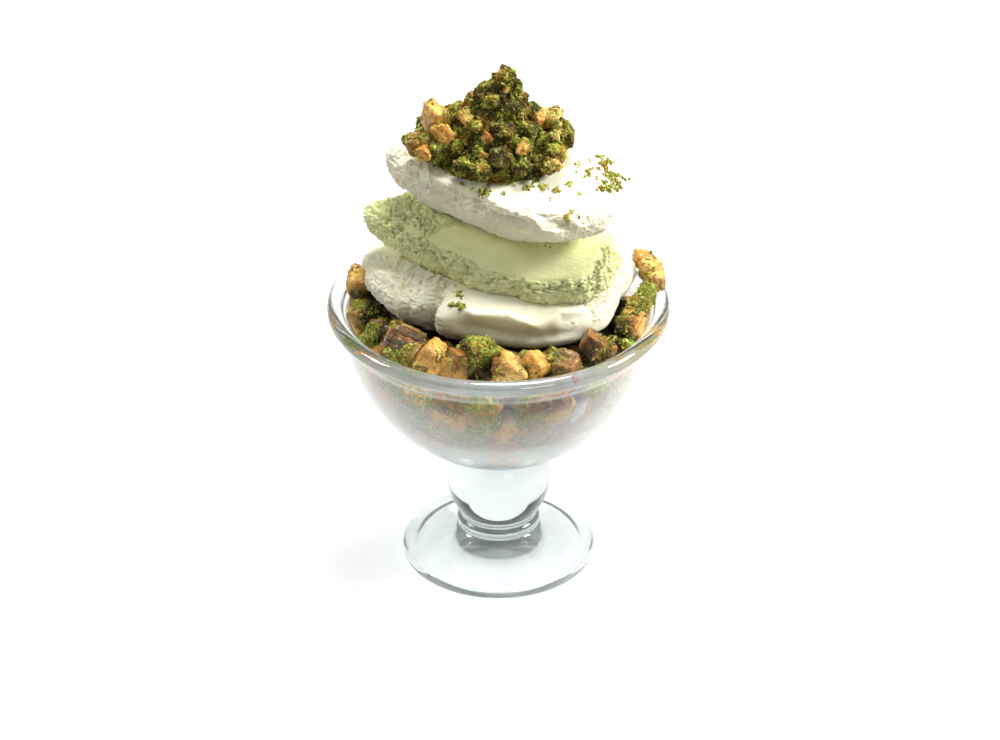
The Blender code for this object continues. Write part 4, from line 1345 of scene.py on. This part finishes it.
def room_at(z):
    """Radius of the room for food inside the cup at height z."""
    if z > CUP_HEIGHT + WALL_CLEARANCE:
        return 2 * RIM_RADIUS
    if z > HOLLOW_TOP_Z:
        share = min((z - HOLLOW_TOP_Z) / (BEAD_Z - HOLLOW_TOP_Z), 1.0)
        return HOLLOW_RADIUS + share * (BEAD_RADIUS - BEAD - HOLLOW_RADIUS) - WALL_CLEARANCE
    base_z = HOLLOW_BASE_Z + 1.5 * WALL_CLEARANCE
    return superellipse(HOLLOW_RADIUS - WALL_CLEARANCE, base_z, HOLLOW_TOP_Z, HOLLOW_POWERS, z)


def middle_of(points):
    """The middle of these points."""
    return sum(points, Vector()) / len(points)


def moved(points, step):
    """The points moved by a step."""
    return [step + p for p in points]


def clear_of_wall(points):
    """The points moved towards the axis until all are inside the bowl, or None if they can't be."""
    for _ in range(TRIES_AT_WALL):
        free = max(min(p.z for p in points), HOLLOW_TOP_Z)
        over = max(math.hypot(p.x, p.y) - room_at(min(p.z, free)) for p in points)
        if over <= 0 and min(p.z for p in points) > HOLLOW_BASE_Z + 2 * WALL_CLEARANCE:
            return points
        middle = middle_of(points)
        inward = Vector((-middle.x, -middle.y, 0.35 * middle.xy.length)).normalized()
        points = moved(points, inward * max(over, INWARD_STEP))
    return None


def hull_tree(points):
    """A search tree of the convex solid round the points."""
    bm = bmesh.new()
    for point in points:
        bm.verts.new(point)
    bmesh.ops.convex_hull(bm, input=bm.verts)
    tree = BVHTree.FromBMesh(bm)
    bm.free()
    return tree


def too_near(points, surfaces):
    """Whether the piece would come nearer than the gap to one of the surfaces."""
    middle = middle_of(points)
    room = hull_tree([p + (p - middle).normalized() * 2 * GAP for p in points])
    return any(room.overlap(surface) for surface in surfaces)


def laid(points, step, surfaces):
    """The piece moved until it clears the surfaces, or None if it finds no place."""
    for _ in range(TRIES_TO_LAY):
        found = clear_of_wall(points)
        if found and not too_near(found, surfaces):
            return found
        points = moved(points, step)
    return None


def perched(points, surfaces):
    """The piece at the lowest height, from its own upwards, where it clears the surfaces."""
    while too_near(points, surfaces):
        points = moved(points, RISE)
    return points


def bed_chunks(slab, glass):
    """The corners of every chunk in the bowl."""
    draw = random.Random(BED_SEED)
    chunks = []
    for place, size, turn in PLACED_CHUNKS:
        chunks.append(laid(moved(chunk_points(size * MM, turn, draw), place), SINK, [slab]))
    start, end, width = LEANING_CHUNK
    chunks.append(perched(stick_points(start, end, width * MM, draw), [slab, glass]))
    for place, size, turn in PERCHED_CHUNKS:
        chunks.append(perched(moved(chunk_points(size * MM, turn, draw), place), [slab, glass]))
    for ring, height, count, sizes, lift in CHUNK_RINGS:
        for index in range(count):
            angle = (index + draw.uniform(-RING_STRAY, RING_STRAY)) * 2 * math.pi / count + ring
            size = CHUNK * draw.uniform(*sizes)
            radius = (ring + draw.uniform(-1.0, 1.0)) * MM
            place = Vector((radius * math.cos(angle), radius * math.sin(angle), height * MM))
            place.z += draw.uniform(-lift, lift) * MM
            chunks.append(laid(moved(chunk_points(size, any_turn(draw), draw), place), SINK, [slab]))
    return chunks


def wall_chunk(height, index, count, sizes, draw):
    """The corners of one chunk that lies against the glass."""
    angle = (index + draw.uniform(-WALL_STRAY, WALL_STRAY)) * math.tau / count + WALL_TWIST * height
    size = draw.uniform(*sizes) * MM
    z = (height + draw.uniform(-WALL_STRAY_Z, WALL_STRAY_Z)) * MM
    radius = superellipse(HOLLOW_RADIUS, HOLLOW_BASE_Z, HOLLOW_TOP_Z, HOLLOW_POWERS, z)
    steep = math.atan2(WALL_AIM_Z - z, radius)
    level = math.cos(steep)
    away = Vector((math.cos(angle) * level, math.sin(angle) * level, -math.sin(steep)))
    wall = Vector((math.cos(angle) * radius, math.sin(angle) * radius, z))
    turn = away.to_track_quat("Z", "Y").to_matrix() @ Matrix.Rotation(draw.uniform(0, math.tau), 3, "Z")
    tilt = degrees(draw.uniform(-WALL_TILT, WALL_TILT), draw.uniform(-WALL_TILT, WALL_TILT), 0)
    turn = (turn @ tilt.to_matrix()).to_quaternion()
    middle = wall - away * size * draw.uniform(*WALL_INSIDE)
    return moved(chunk_points(size, turn, draw), middle)


def wall_chunks(draw):
    """The corners of the chunks that lie against the glass."""
    return [
        wall_chunk(height, index, count, sizes, draw)
        for height, count, sizes in WALL_ROWS for index in range(count)
    ]


def core_body():
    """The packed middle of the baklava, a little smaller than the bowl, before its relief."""
    side = [point for point in hollow_profile(CORE_INSET, 7) if point[1] < CORE_SIDE_TOP_Z]
    reach = side[-1][0]
    crown = [(reach * share, z) for share, z in CORE_CROWN]
    profile = CORE_FOOT + side[2:] + [(reach, CORE_SHOULDER_Z)] + crown + [(0.0, BED_TOP_Z + BED_CROWN)]
    return turned("packed_baklava", softened(profile[::-1], 2), CORE_STEPS)


def blocks(name, pieces, looks, draw, steps, power=BLOCK_POWER):
    """One mesh of rounded blocks, with each block's look on its points: (shade, ground nut on it)."""
    grid, grid_faces = BLOCKS[steps]
    count = len(grid)
    points = np.concatenate([block_points(corners, grid, power) for corners in pieces])
    faces = np.concatenate([grid_faces + count * i for i in range(len(pieces))])
    obj = mesh_object(name, points, faces)
    edge = soft_step(np.sort(np.abs(grid), axis=1)[:, 1], *BAKED_EDGE)
    values = {"tint": [], "layer": [], "nut": [], "rough": [], "stroke": [], "edge": [edge] * len(pieces)}
    for (shade, nuts), corners in zip(looks, pieces):
        across = grid[:, draw.randrange(3)]
        values["tint"].append(np.full(count, shade))
        values["layer"].append(across * draw.uniform(*LEAVES) * LEAF + draw.uniform(0, 9))
        leaf_steps = np.sin(across * math.tau * draw.uniform(*LEAF_STEPS) + draw.uniform(0, 6))
        values["stroke"].append(LEAF_STEP * leaf_steps * (1.0 - nuts) * (np.abs(across) < LEAF_END))
        top = grid[:, draw.randrange(3)] * draw.choice((-1.0, 1.0))
        values["nut"].append(np.clip(nuts + 0.5 * top, 0.0, 1.0))
        size = (corners[0] - corners[7]).length / math.sqrt(3.0)
        relief = (BARE_RELIEF + (1.0 - BARE_RELIEF) * nuts) * min(1.0, size / FULL_RELIEF_SIZE)
        values["rough"].append(np.full(count, relief))
    for key, parts in values.items():
        point_value(obj, key, np.concatenate(parts))
    return obj


def wall_distance(steepness):
    """Distance from the middle of the bowl's mouth to its wall, at these angles below the horizon."""
    wall = np.array(hollow_profile(0.0, PRESS_STEPS))
    down = HOLLOW_TOP_Z - wall[:, 1]
    angles = np.arctan2(down, wall[:, 0])
    return np.interp(steepness, angles[::-1], np.hypot(down, wall[:, 0])[::-1])


def press_on_glass(obj, depth, lowest, reach):
    """Presses the points within reach of the wall this deep into it, so that no gap shows there, fading out
    below the lowest height."""
    points = coordinates(obj)
    mouth = np.array([0.0, 0.0, HOLLOW_TOP_Z])
    off = points - mouth
    far = np.linalg.norm(off, axis=1)
    below = np.arctan2(-off[:, 2], np.hypot(off[:, 0], off[:, 1]))
    wall = wall_distance(np.clip(below, 0.0, math.pi / 2)) + depth
    pull = soft_step(far - wall, -reach, -PRESS_FULL * reach) * soft_step(below, 0.0, PRESS_BELOW)
    pull *= soft_step(points[:, 2], lowest - PRESS_FADE, lowest)
    pull[(far > wall) & (below > 0.0)] = 1.0
    points = mouth + off * (1.0 + pull * (wall / np.maximum(far, 1e-6) - 1.0))[:, None]
    move_points(obj, points)


def mark_painted_gap_shade(obj):
    """Stores how deep in the bed each point is, from 0 on top and against the glass to 1 in the gaps: a mask
    of painted shade.
    """
    points = coordinates(obj)
    room = np.interp(points[:, 2], *np.array(hollow_profile(0.0, DEEP_STEPS)).T[::-1])
    inside = soft_step(room - np.hypot(points[:, 0], points[:, 1]), *DEEP_INSIDE)
    normals = np.empty(len(points) * 3, np.float32)
    obj.data.vertex_normals.foreach_get("vector", normals)
    outward = points - np.array([0.0, 0.0, HOLLOW_TOP_Z])
    outward /= np.maximum(np.linalg.norm(outward, axis=1), 1e-6)[:, None]
    facing_glass = np.sum(normals.reshape(-1, 3) * outward, axis=1)
    inside = np.maximum(inside, soft_step(-facing_glass, *DEEP_FACING))
    point_value(obj, "deep", soft_step(DEEP_FROM_Z - points[:, 2], 0.0, DEEP_FALL) * inside)


def packed_core(relief, finish):
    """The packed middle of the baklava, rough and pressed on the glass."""
    core = core_body()
    points = coordinates(core)
    point_value(core, "rough", np.ones(len(points)))
    point_value(core, "tint", np.zeros(len(points)))
    point_value(core, "layer", points[:, 2] / MM)
    point_value(core, "nut", np.full(len(points), CORE_NUT))
    core = with_relief(core, relief, CORE_RELIEF, 0.0, "packed_baklava")
    press_on_glass(core, *CORE_PRESS)
    core.data.materials.append(finish)
    return smooth(core)


def chunk_groups(draw, slab, glass):
    """The chunks in three groups: (name, corners, looks, steps along a block's side)."""
    chunks = bed_chunks(slab, glass)
    # Ring chunks draw mostly dark shades: partly the pastry's own bake, partly painted shade for the gaps
    # among them
    looks = PLACED_LOOKS + [
        (RING_SHADE * draw.random() ** 2, draw.choice(RING_NUTS)) for _ in chunks[len(PLACED_LOOKS):]
    ]
    for middle, size, look in LOOSE_CHUNKS:
        chunks.append(moved(chunk_points(size * MM, any_turn(draw), draw), middle))
        looks.append(look)
    laid_chunks = [(chunk, look) for chunk, look in zip(chunks, looks) if chunk]
    near_glass = wall_chunks(draw)
    near_looks = [(draw.uniform(*WALL_SHADES), draw.choice(WALL_NUTS)) for _ in near_glass]
    groups = []
    for name, seen, steps in (
        ("chopped_baklava_top", True, FINE_BLOCK), ("chopped_baklava_low", False, PLAIN_BLOCK),
    ):
        some = [pair for pair in laid_chunks if (max(p.z for p in pair[0]) > SEEN_FROM_Z) == seen]
        groups.append((name, [chunk for chunk, _ in some], [look for _, look in some], steps))
    return groups + [("chopped_baklava_wall", near_glass, near_looks, PLAIN_BLOCK)]


def bed_nut(made, grains, green):
    """Ground pistachio over the top of the bed."""
    ground = joined_copy("bed_ground", made)
    points = coordinates(ground)
    radius = np.hypot(points[:, 0], points[:, 1])
    inside = (radius < HOLLOW_RADIUS - NUT_OFF_WALL) | (points[:, 2] > NUT_OVER_RIM_Z)
    cloud = noise_at(points, BED_NUT_CLOUD, (5, 0, 0))
    where = soft_step(values_of(ground, "nut") + 0.9 * cloud, 0.25, 0.85) * inside
    where *= points[:, 2] > NUT_FROM_Z
    where *= 1.0 - SPARSE_LOSS * soft_step(SPARSE_FROM_Z - points[:, 2], 0.0, SPARSE_FALL)
    point_value(ground, "where", where)
    return with_grains(ground, grains, BED_GRAINS, green, "bed_grains")


def baklava_bed(relief, grains, slab, glass, finish, green):
    """The chopped baklava: a packed core, the chunks round it and ground pistachio over them."""
    draw = random.Random(BED_SEED + 1)
    groups = chunk_groups(draw, slab, glass)
    made = [packed_core(relief, finish)]
    for seed, (name, chunks, looks, steps) in enumerate(groups, start=3):
        piece = with_relief(blocks(name, chunks, looks, draw, steps), relief, CHUNK_RELIEF, float(seed), name)
        press_on_glass(piece, *CHUNK_PRESS)
        piece.data.materials.append(finish)
        made.append(smooth(piece))
    for piece in made:
        mark_painted_gap_shade(piece)
    made.append(bed_nut(made, grains, green))
    for piece in made:
        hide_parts("baklava_bed")
    return made


# ---------------------------------------------------------------- heap and crumbs

def heap_height(share, angle):
    """Height of the heap's core at a share of its radius: a peak over a broad shoulder."""
    peak = HEAP_PEAK[0] * math.exp(-((share / HEAP_PEAK[1]) ** 2))
    shoulder = HEAP_SHOULDER[0] * max(1.0 - share ** HEAP_SHOULDER[1], 0.0)
    height, count, start = HEAP_WAVES
    return HEAP_HEIGHT * (peak + shoulder) * (1.0 + height * share * math.sin(count * angle + start))


def heap_place(share, angle):
    """Where a point of the heap is, seen from above. The peak leans to the right."""
    x = HEAP_X + HEAP_LONG * share * math.cos(angle) + HEAP_LEAN * (1.0 - share)
    return x, HEAP_Y + HEAP_WIDE * share * math.sin(angle)


def heap_core(slab_tree):
    """The heap's core, its underside just above the slab."""
    directions, faces = ball_grid(HEAP_AROUND, HEAP_ACROSS)
    points, rough = [], []
    for x, y, z in directions:
        angle, share = math.atan2(y, x), min(math.hypot(x, y), 1.0) ** HEAP_ROUND
        place_x, place_y = heap_place(share * HEAP_INSIDE, angle)
        base = (top_of(slab_tree, place_x, place_y) or 0.0) - HEAP_SUNK
        rise = heap_height(share, angle) if z > 0.0 else 0.0
        points.append((place_x, place_y, base + rise + (HEAP_SKIRT if z > -0.01 else 0.0)))
        rough.append(min(1.0, 0.1 + rise / HEAP_ROUGH_FROM))
    obj = mesh_object("heap_core", points, faces)
    point_value(obj, "rough", rough)
    point_value(obj, "tint", [0.15] * len(rough))
    point_value(obj, "nut", [1.0] * len(rough))
    return obj


def heap_crumbs(tree):
    """The corners of every larger crumb in the heap."""
    draw = random.Random(HEAP_SEED)
    crumbs = []
    for share, count, small, large in CRUMB_RINGS:
        for index in range(count):
            angle = (index + draw.uniform(-CRUMB_STRAY, CRUMB_STRAY)) * 2 * math.pi / count
            size = draw.uniform(small, large) * MM
            x, y = heap_place(share, angle)
            base = top_of(tree, x, y)
            if base is None:
                continue
            points = chunk_points(size, any_turn(draw), draw)
            lowest = min(p.z for p in points)
            rise = max(heap_height(share, angle) * CRUMB_SUNK, 3 * GAP - lowest)
            found = laid(moved(points, Vector((x, y, base + rise))), RISE, [tree])
            if found:
                crumbs.append(found)
    return crumbs


def amber_spots(aims, draw):
    """The corners and looks of the amber crumbs, each where the camera first meets one of the surfaces."""
    spots = []
    for right, up, size, shade, nuts in AMBER_SPOTS:
        found = [seen_at(tree, right * MM, up * MM) for tree in aims]
        found = [hit for hit in found if hit]
        if found:
            place, normal = min(found, key=lambda hit: hit[0].y)
            middle = place + normal * AMBER_OUT * size * MM
            points = moved(chunk_points(size * MM, any_turn(draw), draw, UNEVEN_CRUMB), middle)
            spots.append((points, (shade, nuts)))
    return spots


def block_tree(corners):
    """A search tree of the rounded block between these corners."""
    grid, faces = BLOCKS[PLAIN_BLOCK]
    aim = mesh_object("aim", block_points(corners, grid), faces)
    tree = surface_of(aim)
    bpy.data.objects.remove(aim)
    return tree


def baklava_topping(relief, grains, slab, pastry, green):
    """The heap: a craggy core, larger crumbs and ground pistachio over all."""
    draw = random.Random(HEAP_SEED + 1)
    crumbs = heap_crumbs(slab)
    core = with_relief(heap_core(slab), relief, HEAP_RELIEF, 2.0, "heap_core")
    core.data.materials.append(green)
    pieces = [smooth(core)]
    bare, coated = [], []
    for crumb in crumbs:
        sideways = abs(middle_of(crumb).x - HEAP_X - 0.5 * HEAP_LEAN) / HEAP_LONG
        (bare if draw.random() < BARE_AT_SIDE * sideways else coated).append(crumb)
    coated = [(crumb, (draw.random(), COATED_NUT)) for crumb in coated]
    bare = [(crumb, (draw.uniform(0.0, 0.8), BARE_NUT)) for crumb in bare]
    bare += amber_spots([surface_of(core)] + [block_tree(crumb) for crumb, _ in coated], draw)
    for name, group, finish in (("amber_crumbs", bare, pastry), ("coated_crumbs", coated, green)):
        crumbs, looks = zip(*group)
        body = blocks(name, crumbs, looks, draw, FINE_BLOCK, CRUMB_POWER)
        body.data.attributes["rough"].data.foreach_set("value", np.ones(len(body.data.vertices), np.float32))
        piece = with_relief(body, relief, CRUMB_RELIEF, 5.0, name)
        piece.data.materials.append(finish)
        pieces.append(smooth(piece))
    ground = joined_copy("heap_ground", pieces)
    cloud = noise_at(coordinates(ground), HEAP_NUT_CLOUD, (0, 9, 0))
    point_value(ground, "where", soft_step(values_of(ground, "nut") + 0.7 * cloud, 0.15, 0.7))
    for name, sizes in HEAP_GRAINS:
        pieces.append(with_grains(copy_of(ground), grains, sizes, green, name))
    bpy.data.objects.remove(ground)
    for piece in pieces:
        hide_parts("baklava_topping")
    return pieces


def slab_crumbs(name, tree, crumbs, node, grains, finish):
    """Clumps of ground pistachio half sunk in a slab's top."""
    directions, faces = ball_grid(*CLUMP_BALL)
    draw = random.Random(len(crumbs))
    points, all_faces = [], []
    for right, up, size in crumbs:
        for _ in range(CLUMP_LUMPS):
            step = [draw.gauss(0.0, CLUMP_SPREAD * size) for _ in range(2)]
            found = seen_at(tree, (right + step[0]) * MM, (up + CLUMP_FLAT * step[1]) * MM)
            if found:
                all_faces += [[v + len(points) for v in face] for face in faces]
                points += [found[0] + Vector(d) * size * MM * draw.uniform(*CLUMP_RADIUS) for d in directions]
    mounds = mesh_object(name, points, all_faces)
    point_value(mounds, "where", [1.0] * len(points))
    obj = with_grains(mounds, grains, CLUMP_GRAINS, finish, name)
    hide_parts(node)
    return obj


# ---------------------------------------------------------------- studio

def studio_floor():
    """A broad pale floor."""
    corners = [(x * FLOOR_REACH, y * FLOOR_REACH, 0) for x, y in ((-1, -1), (1, -1), (1, 1), (-1, 1))]
    floor = mesh_object("studio_floor", corners, [(0, 1, 2, 3)])
    floor.data.materials.append(floor_finish())


def soft_light(name, place, side, power):
    """A square area light that looks at the cup."""
    data = bpy.data.lights.new(name, "AREA")
    data.shape = "SQUARE"
    data.size = side
    data.energy = power
    light = bpy.data.objects.new(name, data)
    light.location = place
    light.rotation_euler = (CAMERA_TARGET - Vector(place)).to_track_quat("-Z", "Y").to_euler()
    bpy.context.scene.collection.objects.link(light)


def studio_camera():
    """The camera at the photograph's viewing angle."""
    data = bpy.data.cameras.new("camera")
    data.lens = CAMERA_LENS
    data.sensor_width = SENSOR_WIDTH
    data.clip_end = FAR_CLIP
    camera = bpy.data.objects.new("camera", data)
    away = towards_camera()
    camera.location = CAMERA_TARGET + away * CAMERA_DISTANCE
    camera.rotation_euler = (-away).to_track_quat("-Z", "Y").to_euler()
    bpy.context.scene.collection.objects.link(camera)
    bpy.context.scene.camera = camera


def studio_surround():
    """White studio walls that show in the glass, and shed only a little light on the food."""
    world = bpy.data.worlds.new("studio")
    world.use_nodes = True
    tree = world.node_tree
    walls = tree.nodes["Background"]
    direction = add_node(tree, "ShaderNodeTexCoord").outputs["Generated"]
    tree.links.new(ramp(tree, part_of(tree, direction, 2), STUDIO_SHADES), walls.inputs["Color"])
    away = part_of(tree, direction, 1)
    behind = spread(tree, away, *BACK_FADE, WALL_GLOW, BACK_GLOW)
    before = spread(tree, away, *FRONT_FADE, WALL_GLOW, FRONT_GLOW)
    glow = maths(tree, "MINIMUM", behind, before)
    path = add_node(tree, "ShaderNodeLightPath")
    lit = add_node(tree, "ShaderNodeMix", {"data_type": "FLOAT"}, {
        0: path.outputs["Is Diffuse Ray"], 2: glow, 3: FOOD_GLOW,
    })
    tree.links.new(lit.outputs[0], walls.inputs["Strength"])
    return world


def studio():
    """Floor, lights, world and camera."""
    studio_floor()
    for light in LIGHTS:
        soft_light(*light)
    bpy.context.scene.world = studio_surround()
    bpy.context.scene.view_settings.view_transform = "Standard"
    studio_camera()


# ---------------------------------------------------------------- the part

def main():
    """The cup and its food, each piece standing for its CAD node, and the studio."""
    relief = relief_tree()
    grains = grain_tree()
    plain = ice_cream_finish("plain_ice_cream", PLAIN_SHADES, PLAIN_FLECKS)
    pistachio = ice_cream_finish("pistachio_ice_cream", PISTACHIO_SHADES, PISTACHIO_FLECKS)
    baklava = baklava_finish("chopped_baklava", PASTRY_SHADES, PASTRY_GLOW)
    amber = baklava_finish("amber_crumbs", AMBER_SHADES, AMBER_GLOW)
    green = nut_finish("ground_pistachio", HEAP_DARK_PATCHES)
    bright = nut_finish("scattered_pistachio", CLUMP_DARK_PATCHES)

    cup = glass_cup()
    core = core_body()
    core_tree = surface_of(core)
    bpy.data.objects.remove(core)
    lower = ice_cream_slab("plain_slab_lower", "plain_slab_low", relief, core_tree, plain)
    lower_tree = surface_of(lower)
    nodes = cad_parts
    slab_tree, glass_tree = surface_of(nodes["plain_slab_lower"]), surface_of(nodes["glass_cup"])
    bed = baklava_bed(relief, grains, slab_tree, glass_tree, baklava, green)
    middle = ice_cream_slab("pistachio_slab", "pistachio_slab_torn", relief, lower_tree, pistachio)
    upper = ice_cream_slab("plain_slab_upper", "plain_slab_high", relief, surface_of(middle), plain)
    upper_tree = surface_of(upper)
    heap = baklava_topping(relief, grains, upper_tree, amber, green)
    low_crumbs = slab_crumbs("crumbs_low", lower_tree, LOWER_CRUMBS, "plain_slab_lower", grains, bright)
    high = UPPER_CRUMBS + CLUSTER
    high_crumbs = slab_crumbs("crumbs_high", upper_tree, high, "plain_slab_upper", grains, bright)

    for piece in [cup, lower, middle, upper, low_crumbs, high_crumbs] + bed + heap:
        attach(piece, "root")
    studio()


main()
